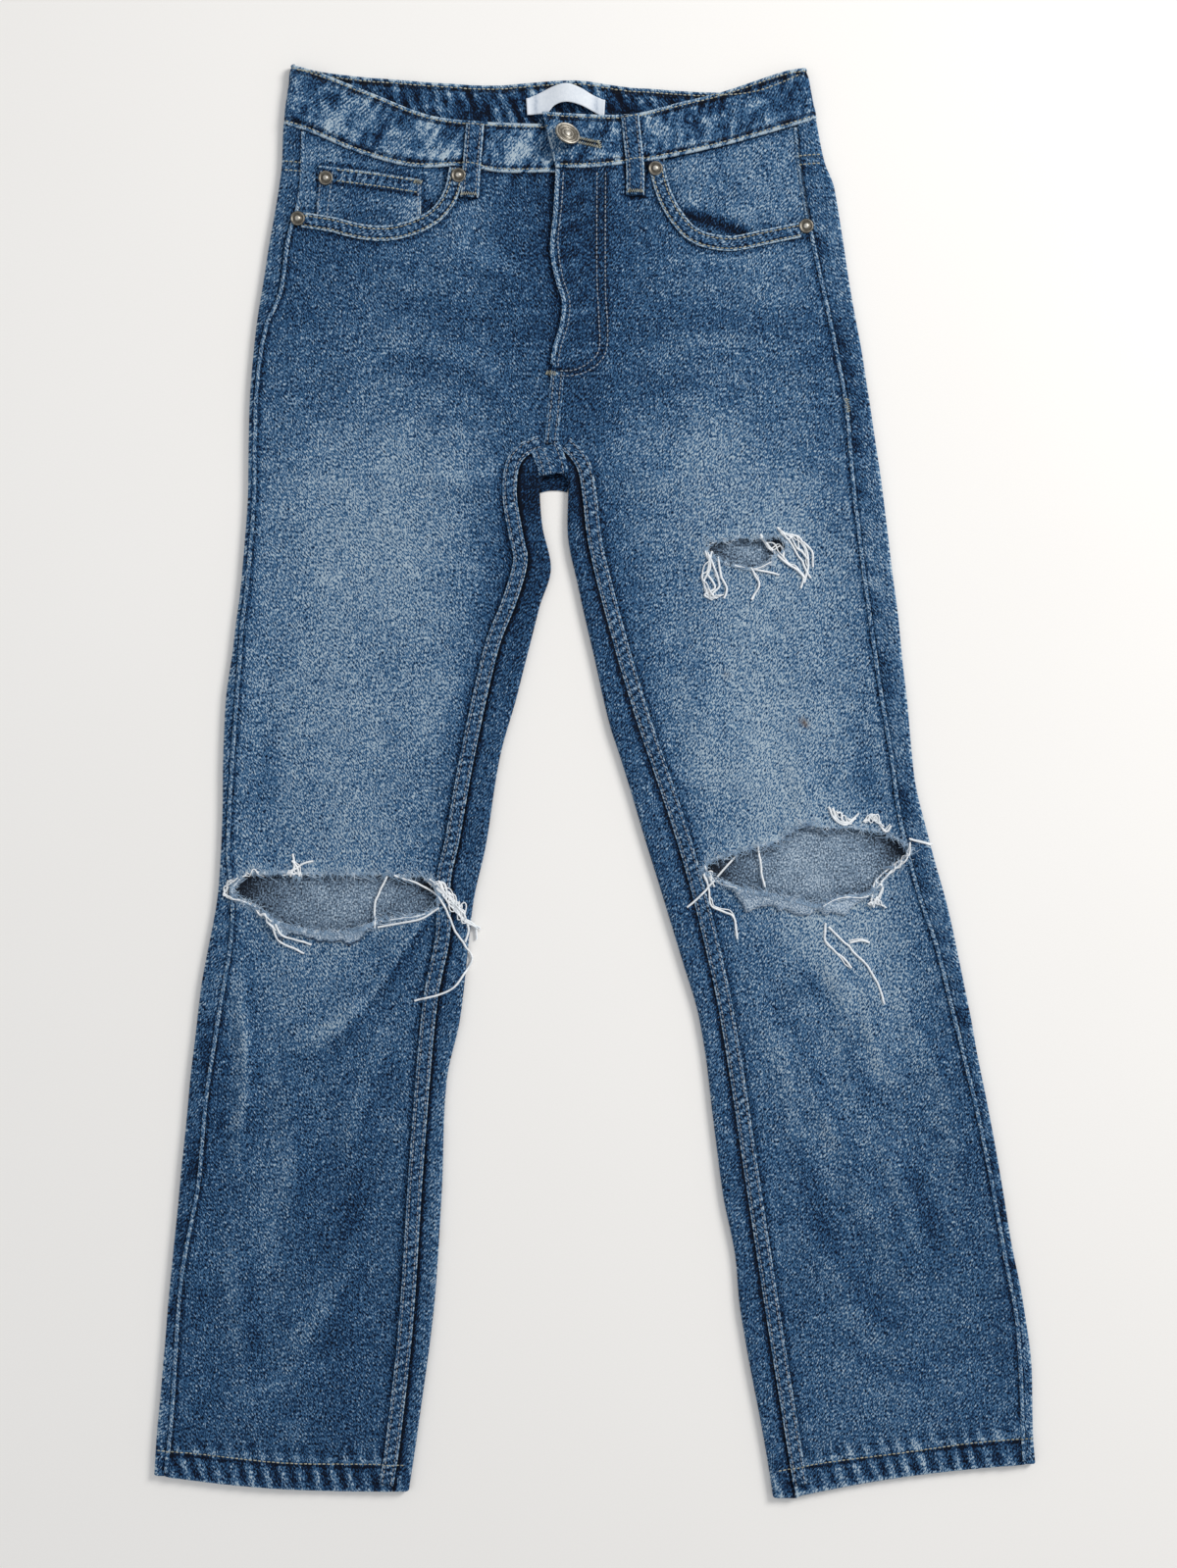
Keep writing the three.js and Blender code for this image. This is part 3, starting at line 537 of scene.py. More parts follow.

# %% [markdown]
# ## Where the dye has gone, and where shade is painted
#
# Indigo sits on the outside of the yarn and rubs off where the body and the wash work the cloth. The
# thighs and the knees are pale, the hips keep faint whiskers and the fly stays dark. A short table per
# leg gives the paleness from the outer to the inner fold at each height, from 0 for deep blue to 1 for
# nearly white. The same paleness also carries painted shade: dark lines beside raised seams, bands,
# loops and pocket edges and in stitched grooves, and a lit and a shaded side on the folds.

# %% Paleness of the cloth
ACROSS_STOPS = np.array([0, 0.12, 0.3, 0.5, 0.7, 0.88, 1.0])
PALE = {
    right: [
        (540, [0.5, 0.45, 0.5, 0.5, 0.45, 0.35, 0.3]),
        (450, [0.46, 0.35, 0.41, 0.43, 0.51, 0.33, 0.26]),
        (400, [0.49, 0.37, 0.37, 0.45, 0.49, 0.32, 0.25]),
        (350, [0.42, 0.41, 0.48, 0.43, 0.35, 0.34, 0.3]),
        (300, [0.46, 0.44, 0.48, 0.48, 0.45, 0.42, 0.36]),
        (262, [0.5, 0.52, 0.63, 0.68, 0.6, 0.4, 0.26]),
        (220, [0.52, 0.62, 0.73, 0.75, 0.66, 0.38, 0.21]),
        (160, [0.55, 0.63, 0.75, 0.77, 0.64, 0.31, 0.26]),
        (100, [0.52, 0.6, 0.69, 0.67, 0.61, 0.38, 0.31]),
        (40, [0.52, 0.6, 0.69, 0.7, 0.62, 0.47, 0.38]),
        (-20, [0.55, 0.58, 0.63, 0.67, 0.59, 0.47, 0.38]),
        (-60, [0.56, 0.58, 0.62, 0.68, 0.6, 0.47, 0.38]),
        (-100, [0.48, 0.54, 0.66, 0.66, 0.62, 0.5, 0.42]),
        (-150, [0.44, 0.5, 0.58, 0.6, 0.48, 0.42, 0.42]),
        (-200, [0.43, 0.44, 0.5, 0.46, 0.44, 0.44, 0.44]),
        (-260, [0.41, 0.4, 0.43, 0.42, 0.41, 0.45, 0.49]),
        (-350, [0.39, 0.38, 0.43, 0.4, 0.39, 0.43, 0.49]),
        (-450, [0.41, 0.36, 0.38, 0.39, 0.34, 0.37, 0.45]),
        (-520, [0.39, 0.36, 0.41, 0.39, 0.35, 0.39, 0.47]),
    ],
    left: [
        (540, [0.48, 0.46, 0.5, 0.45, 0.35, 0.25, 0.2]),
        (450, [0.49, 0.47, 0.56, 0.51, 0.4, 0.25, 0.2]),
        (400, [0.55, 0.51, 0.57, 0.49, 0.36, 0.27, 0.22]),
        (350, [0.49, 0.43, 0.44, 0.42, 0.38, 0.3, 0.29]),
        (300, [0.45, 0.44, 0.48, 0.52, 0.43, 0.3, 0.25]),
        (262, [0.5, 0.48, 0.54, 0.68, 0.56, 0.39, 0.32]),
        (220, [0.52, 0.54, 0.69, 0.71, 0.6, 0.42, 0.34]),
        (180, [0.6, 0.62, 0.74, 0.69, 0.6, 0.43, 0.34]),
        (150, [0.61, 0.63, 0.72, 0.72, 0.6, 0.44, 0.34]),
        (110, [0.58, 0.6, 0.68, 0.73, 0.6, 0.42, 0.36]),
        (50, [0.54, 0.6, 0.72, 0.8, 0.65, 0.43, 0.38]),
        (0, [0.52, 0.54, 0.7, 0.81, 0.7, 0.47, 0.4]),
        (-50, [0.54, 0.58, 0.78, 0.79, 0.7, 0.45, 0.4]),
        (-100, [0.5, 0.56, 0.77, 0.84, 0.56, 0.45, 0.4]),
        (-150, [0.47, 0.52, 0.72, 0.66, 0.51, 0.48, 0.43]),
        (-200, [0.48, 0.48, 0.6, 0.57, 0.5, 0.5, 0.46]),
        (-260, [0.44, 0.43, 0.51, 0.52, 0.49, 0.45, 0.45]),
        (-350, [0.42, 0.42, 0.46, 0.39, 0.42, 0.45, 0.42]),
        (-450, [0.44, 0.41, 0.41, 0.43, 0.45, 0.42, 0.4]),
        (-520, [0.5, 0.42, 0.4, 0.46, 0.47, 0.48, 0.45]),
    ],
}
PALE_COLUMNS = {
    half: [through([(y, values[k]) for y, values in rows]) for k in range(len(ACROSS_STOPS))]
    for half, rows in PALE.items()
}


def paleness(half, x, y):
    outer = half.outer(y)
    inner = np.where(y > CROTCH_Y, CENTRE_X, half.inner(y))
    across = np.clip((x - outer) / (inner - outer), 0, 1)
    values = np.array([column(y) for column in PALE_COLUMNS[half]])
    k = np.clip(np.searchsorted(ACROSS_STOPS, across, side="right") - 1, 0, len(ACROSS_STOPS) - 2)
    t = ease((across - ACROSS_STOPS[k]) / (ACROSS_STOPS[k + 1] - ACROSS_STOPS[k]))
    spots = np.arange(values.shape[1]) if values.ndim == 2 else 0
    low = values[k, spots]
    high = values[k + 1, spots]
    return lerp(low, high, t)


thigh_sample = paleness(right, np.array([-160.0]), np.array([160.0]))
print("paleness at the right thigh", round(float(thigh_sample[0]), 2))

# %% Worn lines, painted fold shading and clouds
WHISKERS = [
    # line, width, change of paleness
    ([(-60, 316), (-130, 342), (-215, 346)], 7, 0.05),
    ([(-60, 350), (-120, 372), (-200, 380)], 7, 0.05),
    ([(-56, 392), (-100, 410), (-130, 412)], 6, 0.06),
    ([(-64, 284), (-140, 300), (-220, 296)], 8, 0.05),
    ([(24, 318), (90, 336), (180, 330)], 7, 0.06),
    ([(24, 352), (90, 372), (176, 366)], 7, 0.06),
    ([(26, 288), (90, 300), (186, 290)], 8, 0.05),
    ([(32, 392), (70, 398), (120, 396)], 6, 0.05),
]
# Painted light and shade along the creases of the shins: line, width, change of paleness
SHIN_FOLD_SHADING = [
    ([(171, -125), (192, -177), (190, -202), (206, -240)], 7, 0.12),
    ([(197, -137), (211, -192), (226, -236)], 6, 0.12),
    ([(144, -125), (187, -168), (197, -211), (230, -258)], 9, -0.10),
    ([(197, -292), (218, -336), (240, -390)], 9, 0.05),
    ([(-274, -135), (-265, -199), (-265, -230), (-271, -283), (-274, -314)], 3.5, 0.13),
    ([(-290, -150), (-284, -230), (-292, -340)], 9, -0.07),
    ([(-166, -287), (-182, -340), (-200, -400)], 15, -0.06),
    ([(-124, -95), (-132, -112), (-146, -134), (-163, -156)], 3.5, -0.16),
    ([(-170, -162), (-200, -192), (-230, -208)], 9, 0.09),
    ([(240, -270), (262, -330), (274, -380)], 12, -0.07),
    ([(128, -180), (150, -230), (160, -290)], 8, 0.08),
]


def wear_and_fold_shading(x, y):
    change = np.zeros(np.shape(x))
    # Pressed folds: painted shade on the sharp side and painted light just past the crest on the soft side
    for line, _, size in PRESSED_FOLDS:
        gap = signed_gap(x, y, line)
        _, along, length = from_line(x, y, line)
        taper = taper_along(along, length, 4, 2.5)
        shaded = -0.055 * bell(np.minimum(gap, 0), 9) * ease(0.5 - gap)
        change += size * taper * (shaded + 0.03 * bell(gap - 2.5, 3.5))
    # Creases: the ridge is a little paler from wear, and the cloth right of the line going along it is
    # painted lighter and left of it darker, as if lit from one side
    for line, width, size in CREASES:
        _, along, length = from_line(x, y, line)
        gap = signed_gap(x, y, line) / width
        taper = taper_along(along, length, 3.2, 3.2)
        change += size * taper * (0.03 + 0.19 * gap) * bell(1.2 * gap, 1)
    # Whiskers are wear; the shin fold lines are painted light and shade
    for line, width, amount in WHISKERS + SHIN_FOLD_SHADING:
        gap, along, length = from_line(x, y, line)
        taper = taper_along(along, length, 4, 4)
        change += 0.8 * amount * taper * (1 + 0.5 * patchy(x, y, 14, 8)) * bell(gap, width)
    return change


def cloth_paleness(half, x, y):
    clouds = 0.03 * patchy(x, y, 34, 9) + 0.04 * patchy(x, y, 13, 10) + 0.05 * patchy(x, y, 5.5, 11)
    rim = tear_rim(half, x, y)
    worn_rim = 0.36 * np.exp(-rim / 3.2) * (0.7 + 0.9 * patchy(x, y, 5, 12))
    return paleness(half, x, y) + wear_and_fold_shading(x, y) + clouds + worn_rim


print(len(WHISKERS), "whiskers and", len(SHIN_FOLD_SHADING), "streaks on the shins")

# %% [markdown]
# ## Denim as a material
#
# Denim is a twill: blue warp threads float over white weft threads in steps, which draws fine lines
# that rise to the right, and uneven yarn breaks them up into pale and dark flecks. One node group
# makes that from two numbers of the cloth, its grain (where a point is on the flat cloth) and its
# paleness, and a third one stains it brown where something was spilt. Every denim material places
# this group with its own strengths.

# %% Colours and node helpers
def srgb(red, green, blue):
    """A colour as picked from a swatch, from 0 to 255, as the shader's linear light."""
    values = [c / 255 for c in (red, green, blue)]
    return tuple(v / 12.92 if v <= 0.04045 else ((v + 0.055) / 1.055) ** 2.4 for v in values) + (1,)


class Nodes:
    """Adds nodes to a tree and joins them in one call each."""

    def __init__(self, tree):
        self.tree = tree

    def add(self, kind, inputs=None, **settings):
        node = self.tree.nodes.new(kind)
        for name, value in settings.items():
            setattr(node, name, value)
        for name, value in (inputs or {}).items():
            if isinstance(value, bpy.types.NodeSocket):
                self.tree.links.new(value, node.inputs[name])
            else:
                node.inputs[name].default_value = value
        return node

    def math(self, operation, a, b=0.0, c=0.0):
        node = self.add("ShaderNodeMath", {0: a, 1: b, 2: c}, operation=operation)
        return node.outputs[0]

    def noise(self, vector, scale, detail=2.0, roughness=0.5):
        node = self.add(
            "ShaderNodeTexNoise",
            {"Vector": vector, "Scale": scale, "Detail": detail, "Roughness": roughness},
        )
        return node.outputs["Fac"]

    def stretched(self, vector, scale, turn=0.0):
        node = self.add("ShaderNodeMapping", {"Vector": vector, "Scale": scale, "Rotation": (0, 0, turn)})
        return node.outputs["Vector"]

    def field(self, name, output="Fac"):
        """A number, or with output "Vector" a place, that was written on the corners of the mesh."""
        return self.add("ShaderNodeAttribute", attribute_name=name).outputs[output]

    def ramp(self, fac, stops):
        """A colour ramp with its (place, colour) stops."""
        node = self.add("ShaderNodeValToRGB", {"Fac": fac})
        elements = node.color_ramp.elements
        for place, _ in stops[1:-1]:
            elements.new(place)
        for stop, (place, colour) in zip(elements, stops):
            stop.position = place
            stop.color = colour
        return node.outputs["Color"]

    def finish(self, shader, colour, roughness, height, strength, distance=0.0004):
        """Joins a colour, a roughness and a fine relief to the material's shader."""
        relief = self.add("ShaderNodeBump", {"Height": height, "Strength": strength, "Distance": distance})
        self.tree.links.new(colour, shader.inputs["Base Color"])
        self.tree.links.new(roughness, shader.inputs["Roughness"])
        self.tree.links.new(relief.outputs["Normal"], shader.inputs["Normal"])


def new_group(name, inputs, outputs):
    group = bpy.data.node_groups.new(name, "ShaderNodeTree")
    for label, kind, value in inputs:
        socket = group.interface.new_socket(label, in_out="INPUT", socket_type=kind)
        if value is not None:
            socket.default_value = value
    for label, kind in outputs:
        group.interface.new_socket(label, in_out="OUTPUT", socket_type=kind)
    nodes = Nodes(group)
    return group, nodes, nodes.add("NodeGroupInput").outputs, nodes.add("NodeGroupOutput").inputs


print("swatch 128 is", round(srgb(128, 128, 128)[0], 3), "in linear light")


# %% The denim group
TWILL_PITCH = 2.3
TWILL_TURN = math.radians(40)
INDIGO = [
    (0.0, srgb(5, 12, 26)),
    (0.25, srgb(17, 44, 77)),
    (0.5, srgb(44, 84, 122)),
    (0.75, srgb(85, 119, 151)),
    (1.0, srgb(170, 186, 197)),
]
denim_weave, net, given, result = new_group(
    "denim_weave",
    [("Grain", "NodeSocketVector", None), ("Paleness", "NodeSocketFloat", 0.5),
     ("Twill", "NodeSocketFloat", 0.3), ("Flecks", "NodeSocketFloat", 1.0),
     ("Stain", "NodeSocketFloat", 0.0)],
    [("Color", "NodeSocketColor"), ("Roughness", "NodeSocketFloat"), ("Height", "NodeSocketFloat")],
)
grain = given["Grain"]
across_twill = net.stretched(grain, (1.0, 1.0, 1.0), TWILL_TURN)
flecks = net.noise(net.stretched(across_twill, (1.3, 0.38, 1.0)), 0.95, 0.5, 0.6)
fine = net.noise(net.stretched(grain, (1.35, 0.55, 1.0)), 0.95, 0.5)
slubs = net.noise(net.stretched(grain, (0.75, 0.06, 1.0)), 1.0, 2.0)
clouds = net.noise(grain, 0.16, 3.0, 0.65)
twill = net.add(
    "ShaderNodeTexWave",
    {"Vector": across_twill, "Scale": 0.314 / TWILL_PITCH, "Distortion": 1.2, "Detail": 1.0,
     "Detail Scale": 0.5},
    bands_direction="X",
).outputs["Fac"]
twill_patch = net.math("MULTIPLY_ADD", net.noise(grain, 0.07, 1.0), 2.4, -0.6)
twill_share = net.math("MULTIPLY", net.math("MAXIMUM", twill_patch, 0.2), given["Twill"])
twill_part = net.math("MULTIPLY", net.math("SUBTRACT", twill, 0.5), twill_share)
fleck_size = net.math("MULTIPLY_ADD", given["Paleness"], -0.2, 1.08)
fleck_share = net.math("MULTIPLY", given["Flecks"], fleck_size)
fleck_part = net.math("MULTIPLY", net.math("SUBTRACT", flecks, 0.5), fleck_share)
fine_share = net.math("MULTIPLY", fleck_share, 1.2)
fine_part = net.math("MULTIPLY", net.math("SUBTRACT", fine, 0.5), fine_share)
speckle = net.math("ADD", fleck_part, fine_part)
bright_share = net.math("MULTIPLY_ADD", given["Paleness"], 0.5, 0.65)
speckle = net.math("MINIMUM", speckle, net.math("MULTIPLY", speckle, bright_share))
slub_part = net.math("MULTIPLY_ADD", slubs, 0.6, -0.285)
cloud_part = net.math("MULTIPLY_ADD", clouds, 0.4, -0.2)
tone = net.math("MULTIPLY_ADD", given["Paleness"], 0.96, 0.025)
for part in (twill_part, speckle, slub_part, cloud_part):
    tone = net.math("ADD", tone, part)
stained = net.add(
    "ShaderNodeMix", {0: given["Stain"], 6: net.ramp(tone, INDIGO), 7: srgb(98, 76, 52)}, data_type="RGBA",
)
net.tree.links.new(stained.outputs[2], result["Color"])
net.tree.links.new(net.math("MULTIPLY_ADD", fine, 0.16, 0.78), result["Roughness"])
weave_height = net.math("ADD", net.math("MULTIPLY", flecks, 0.6), net.math("MULTIPLY", fine, 0.5))
net.tree.links.new(weave_height, result["Height"])
print("the denim group has", len(denim_weave.nodes), "nodes")


# %% Denim materials
def new_material(name):
    material = bpy.data.materials.new(name)
    material.use_nodes = True
    return material, Nodes(material.node_tree), material.node_tree.nodes["Principled BSDF"]


def denim(name, twill_strength, fleck_strength, bump=0.16):
    material, nodes, shader = new_material(name)
    weave = nodes.add("ShaderNodeGroup", node_tree=denim_weave)
    nodes.tree.links.new(nodes.field("grain", "Vector"), weave.inputs["Grain"])
    nodes.tree.links.new(nodes.field("paleness"), weave.inputs["Paleness"])
    nodes.tree.links.new(nodes.field("stain"), weave.inputs["Stain"])
    weave.inputs["Twill"].default_value = twill_strength
    weave.inputs["Flecks"].default_value = fleck_strength
    made = weave.outputs
    nodes.finish(shader, made["Color"], made["Roughness"], made["Height"], bump)
    shader.inputs["Specular IOR Level"].default_value = 0.1
    shader.inputs["Sheen Weight"].default_value = 0.04
    shader.inputs["Sheen Roughness"].default_value = 0.5
    return material


denim_face = denim("denim_face", 0.25, 1.55)
denim_band = denim("denim_band", 0.32, 1.3)


# %% [markdown]
# ## The wrong side of denim
#
# Inside, the white weft lies on top, so the cloth is greyer and paler than outside. It shows through
# the torn knees on the back panel and on the lips that have turned out.

# %% Wrong side, tape and threads
WEFT = [
    (0.0, srgb(20, 28, 40)),
    (0.35, srgb(80, 98, 118)),
    (0.65, srgb(113, 136, 159)),
    (1.0, srgb(186, 200, 212)),
]


def speckled(name, stops, scale, stretch=(1.0, 1.0, 1.0), bump=0.3, roughness=0.85, contrast=2.6):
    material, nodes, shader = new_material(name)
    where = nodes.field("grain", "Vector")
    speck = nodes.noise(nodes.stretched(where, stretch), scale, 1.5, 0.6)
    broad = nodes.noise(where, scale * 0.09, 2.0)
    painted_shade = nodes.field("painted_shade")
    tone_here = nodes.math("ADD", nodes.math("MULTIPLY_ADD", speck, contrast, 0.53 - contrast / 2),
                           nodes.math("MULTIPLY_ADD", broad, 0.5, -0.25))
    # The painted shade written on the mesh darkens the tone; where it is negative it lightens it
    tone_here = nodes.math("SUBTRACT", tone_here, painted_shade)
    rough = nodes.math("MULTIPLY_ADD", speck, 0.2, roughness - 0.1)
    nodes.finish(shader, nodes.ramp(tone_here, stops), rough, speck, bump)
    shader.inputs["Specular IOR Level"].default_value = 0.2
    shader.inputs["Sheen Weight"].default_value = 0.1
    return material


denim_wrong = speckled("denim_wrong_side", WEFT, 0.85, (1.0, 0.7, 1.0))
turned_lip = speckled("turned_lip", [(0.0, srgb(40, 62, 90)), (0.4, srgb(104, 132, 160)),
                                     (1.0, srgb(206, 218, 228))], 0.8)
torn_edge = speckled("torn_edge", [(0.0, srgb(40, 68, 100)), (0.5, srgb(92, 122, 150)),
                                   (1.0, srgb(176, 194, 208))], 0.7)
label_tape = speckled(
    "label_tape", [(0.0, srgb(150, 162, 180)), (0.4, srgb(206, 214, 224)), (1.0, srgb(236, 240, 245))],
    0.9, (1.0, 0.4, 1.0), 0.15, 0.7, contrast=0.5,
)
print("wrong side, torn edge and tape are made")

# %% [markdown]
# ## Laying a grid as cloth
#
# A piece starts as a flat bmesh grid. Its corners are sent to their places on the lying garment, the
# faces inside pocket mouths and torn openings are taken out, and the corners next to an opening are
# moved onto its outline so that the edge runs smoothly. A Solidify modifier gives the cloth its wall.

# %% Grid to cloth
def to_mesh_object(name, bm, materials):
    """An object from a bmesh, with its materials in their slots."""
    mesh = bpy.data.meshes.new(name)
    bm.to_mesh(mesh)
    bm.free()
    for material in materials:
        mesh.materials.append(material)
    piece = bpy.data.objects.new(name, mesh)
    bpy.context.collection.objects.link(piece)
    return piece


def write_field(mesh, name, values):
    """Writes one number, or one place, on each corner of a mesh for its material to read."""
    kind = "FLOAT_VECTOR" if values.ndim == 2 else "FLOAT"
    attribute = mesh.attributes.new(name, kind, "POINT")
    attribute.data.foreach_set("vector" if values.ndim == 2 else "value", values.astype(np.float32).ravel())


def snap_to(x, y, outline, reach):
    """Moves the places within reach of an outline onto it."""
    points = outline + outline[:1]
    best = np.full(x.shape, 1e9)
    new_x, new_y = x.copy(), y.copy()
    for (ax, ay), (bx, by) in zip(points, points[1:]):
        length2 = (bx - ax) ** 2 + (by - ay) ** 2
        t = np.clip(((x - ax) * (bx - ax) + (y - ay) * (by - ay)) / length2, 0, 1)
        px, py = ax + t * (bx - ax), ay + t * (by - ay)
        gap = np.hypot(x - px, y - py)
        closer = (gap < best) & (gap < reach)
        new_x = np.where(closer, px, new_x)
        new_y = np.where(closer, py, new_y)
        best = np.minimum(best, gap)
    return new_x, new_y


def jagged(outline, seed, step=2.2, size=0.9):
    """An outline with more points, each pushed a little in or out."""
    rng = np.random.default_rng(seed)
    rough = []
    for (ax, ay), (bx, by) in zip(outline, outline[1:] + outline[:1]):
        count = max(1, round(math.hypot(bx - ax, by - ay) / step))
        for k in range(count):
            shake = rng.uniform(-size, size, 2)
            rough.append((lerp(ax, bx, k / count) + shake[0], lerp(ay, by, k / count) + shake[1]))
    return rough


print("outlines can be snapped to and roughened")


# %% A piece of cloth from a grid
def cloth_grid(name, columns, rows, lay, openings=(), drop=None, wall=CLOTH, materials=None, flip=False):
    """A piece of cloth from a grid. lay(i, j) gives x, y, z, paleness and grain for the corners."""
    bm = bmesh.new()
    bmesh.ops.create_grid(bm, x_segments=columns, y_segments=rows, size=1)
    if flip:
        bmesh.ops.reverse_faces(bm, faces=bm.faces[:])
    piece = to_mesh_object(name, bm, materials or [denim_face, denim_wrong, torn_edge])
    mesh = piece.data
    flat = np.empty(len(mesh.vertices) * 3)
    mesh.vertices.foreach_get("co", flat)
    flat = flat.reshape(-1, 3)
    i = np.rint((flat[:, 0] + 1) / 2 * columns).astype(int)
    j = np.rint((flat[:, 1] + 1) / 2 * rows).astype(int)
    x, y, z, pale, grain_xy = lay(i, j, openings)
    mesh.vertices.foreach_set("co", (np.stack([x, y, z], axis=1) * MM).ravel())
    write_field(mesh, "paleness", pale)
    write_field(mesh, "grain", np.stack([grain_xy[0], grain_xy[1], 0 * x], axis=1))
    gone = drop(i, j) if drop is not None else np.zeros(len(x), dtype=bool)
    if openings or gone.any():
        bm = bmesh.new()
        bm.from_mesh(mesh)
        bm.verts.ensure_lookup_table()
        lost = []
        for face in bm.faces:
            centre = face.calc_center_median() / MM
            if all(gone[v.index] for v in face.verts):
                lost.append(face)
            elif any(inside(centre.x, centre.y, outline) for outline in openings):
                lost.append(face)
        bmesh.ops.delete(bm, geom=lost, context="FACES")
        bm.to_mesh(mesh)
        bm.free()
    mesh.shade_smooth()
    if wall:
        thicken(piece, wall)
    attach(piece, "root")
    return piece


def thicken(piece, wall):
    shell = piece.modifiers.new("cloth_thickness", "SOLIDIFY")
    shell.thickness = wall * MM
    shell.offset = -1
    shell.material_offset = 1
    shell.material_offset_rim = 2
    shell.use_even_offset = False


def spacing(edge_steps, middle_count):
    """Column places as (from start, from end, share of the middle), closer at both edges."""
    inset = edge_steps[-1]
    places = [("start", e) for e in edge_steps]
    places += [("middle", k / middle_count) for k in range(1, middle_count)]
    places += [("end", e) for e in reversed(edge_steps)]
    return places, inset


def spread(places, inset, i, start, end):
    """Where column i lies between start and end."""
    way = np.sign(end - start)
    kinds = np.array([{"start": 0, "middle": 1, "end": 2}[kind] for kind, _ in places])[i]
    values = np.array([value for _, value in places], dtype=float)[i]
    middle = lerp(start + way * inset, end - way * inset, values)
    return np.select([kinds == 0, kinds == 1], [start + way * values, middle], end - way * values)


print("grids are ready to be laid")

# %% [markdown]
# ## Fronts
#
# A front runs from the hem to the waistband and from the outseam to the inseam or the fly. Its rows
# are closer at the hem, where the cloth turns under in a small roll and is stitched down 20 mm up.
# The pull of that stitching ropes the hem into slanting light and dark ridges.

# %% Pull of the stitching
def slanted_pull(along, across, pitch, slant, seed):
    """Roping beside a seam: ridges across the seam that lean over, uneven in spacing."""
    wobble = 0.35 * pitch * patchy(along, across * 0.3, pitch * 2.3, seed)
    phase = 2 * np.pi * (along + slant * across + wobble) / pitch
    return np.sin(phase) * (0.7 + 0.45 * patchy(along, across, pitch * 1.4, seed + 1))


HEM_ROLL = 1.3
HEM_FOLD_ANGLES = np.radians([30, 60, 90, 120, 150])
HEM_ROW_HEIGHTS = [HEM_ROLL, 2.2, 3.4, 5, 7, 9, 11, 13, 15, 17, 18.6, 19.6, 20.4, 21.4, 23, 25]


def hem_rows(length):
    """Rows from the turned-up edge, round the hem's fold and up the leg: how far up, how deep."""
    turned = [(up, 2 * HEM_ROLL) for up in (19, 14, 9, 5, 2.6, HEM_ROLL)]
    fold = [(HEM_ROLL * (1 - math.sin(a)), HEM_ROLL * (1 + math.cos(a))) for a in HEM_FOLD_ANGLES]
    above = [(up, 0.0) for up in HEM_ROW_HEIGHTS]
    start = HEM_ROW_HEIGHTS[-1]
    count = round((length - start) / 2.75)
    above += [(start + (length - start) * k / count, 0.0) for k in range(1, count + 1)]
    return turned + fold + above


LEG_LENGTH = CROTCH_Y - right.hem_inner
LEG_ROWS = hem_rows(LEG_LENGTH)
HIP_ROW_COUNT = 82
FRONT_EDGE_STEPS = [0, 0.7, 1.5, 2.6, 4.2, 6.2, 8.6, 11, 13.5]
FRONT_PLACES, FRONT_INSET = spacing(FRONT_EDGE_STEPS, 60)
row_up = np.array([up for up, _ in LEG_ROWS] + [LEG_LENGTH] * HIP_ROW_COUNT) / LEG_LENGTH
row_deep = np.array([deep for _, deep in LEG_ROWS] + [0.0] * HIP_ROW_COUNT)
row_hip = np.array([0.0] * len(LEG_ROWS) + [(k + 1) / HIP_ROW_COUNT for k in range(HIP_ROW_COUNT)])
print(len(row_up), "rows and", len(FRONT_PLACES), "columns in each front")

# %% Pocket mouths, hem and seam pull
RIGHT_MOUTH = [
    (-110, 468), (-111.5, 460), (-113, 453), (-116, 446), (-120, 440), (-125, 435), (-131, 431),
    (-137, 428), (-144, 425.5), (-151, 423.6), (-159, 422.5), (-168, 422.6), (-178, 424), (-188, 426.3),
    (-198, 429), (-222, 433), (-250, 436), (-250, 530), (-110, 530),
]
LEFT_MOUTH = [
    (52, 470), (54, 461), (57, 451), (60.5, 443), (65, 435), (70, 428.5), (75, 423), (82, 419),
    (89, 416.8), (97, 415.6), (105, 415.4), (115, 417), (126, 419.5), (155, 425.5), (185, 431),
    (185, 530), (52, 530),
]
MOUTHS = {right: RIGHT_MOUTH, left: LEFT_MOUTH}
MOUTH_LINES = {right: RIGHT_MOUTH[:16], left: LEFT_MOUTH[:14]}
WAIST_GAP = 0.4


def hem_share(y, x, half):
    """Distance up from the hem's edge."""
    outer, inner = half.outer(y), half.inner(y)
    across = np.clip((x - outer) / (inner - outer), 0, 1)
    up = y - lerp(half.hem_outer, half.hem_inner, across)
    return up - half.hem_bow * np.sin(np.pi * across) * np.exp(-9 * up / 795)


def seam_pull(half, x, y):
    """Ridges beside the outseam, the inseam and the hem stitching."""
    from_out = np.abs(x - half.outseam(y))
    from_in = np.abs(x - half.inseam(y))
    up = hem_share(y, x, half)
    out_pull = slanted_pull(y, from_out, 19, 0.5, 20 + half.sign) * np.exp(-from_out / 8)
    in_pull = slanted_pull(y, from_in, 9, 0.6, 24 + half.sign) * np.exp(-np.maximum(0, from_in - 8) / 6)
    in_pull = in_pull * (y < CROTCH_Y)
    hem_pull = slanted_pull(x, up, 12.5, 0.3, 28)
    hem_pull = 1.9 * (0.5 + 0.5 * np.clip(hem_pull, -1, 1)) ** 1.7 - 0.8
    hem_pull = hem_pull * (bell(up - 9, 11) + 0.5 * bell(up - 26, 6))
    return out_pull, in_pull, hem_pull


LOOP_LINES = {
    right: [(-91.0, 503.5), (-92.0, 490), (-93.6, 470), (-95.4, 445)],
    left: [(26.5, 507), (28.5, 488), (30.6, 468), (30.6, 446.5)],
}


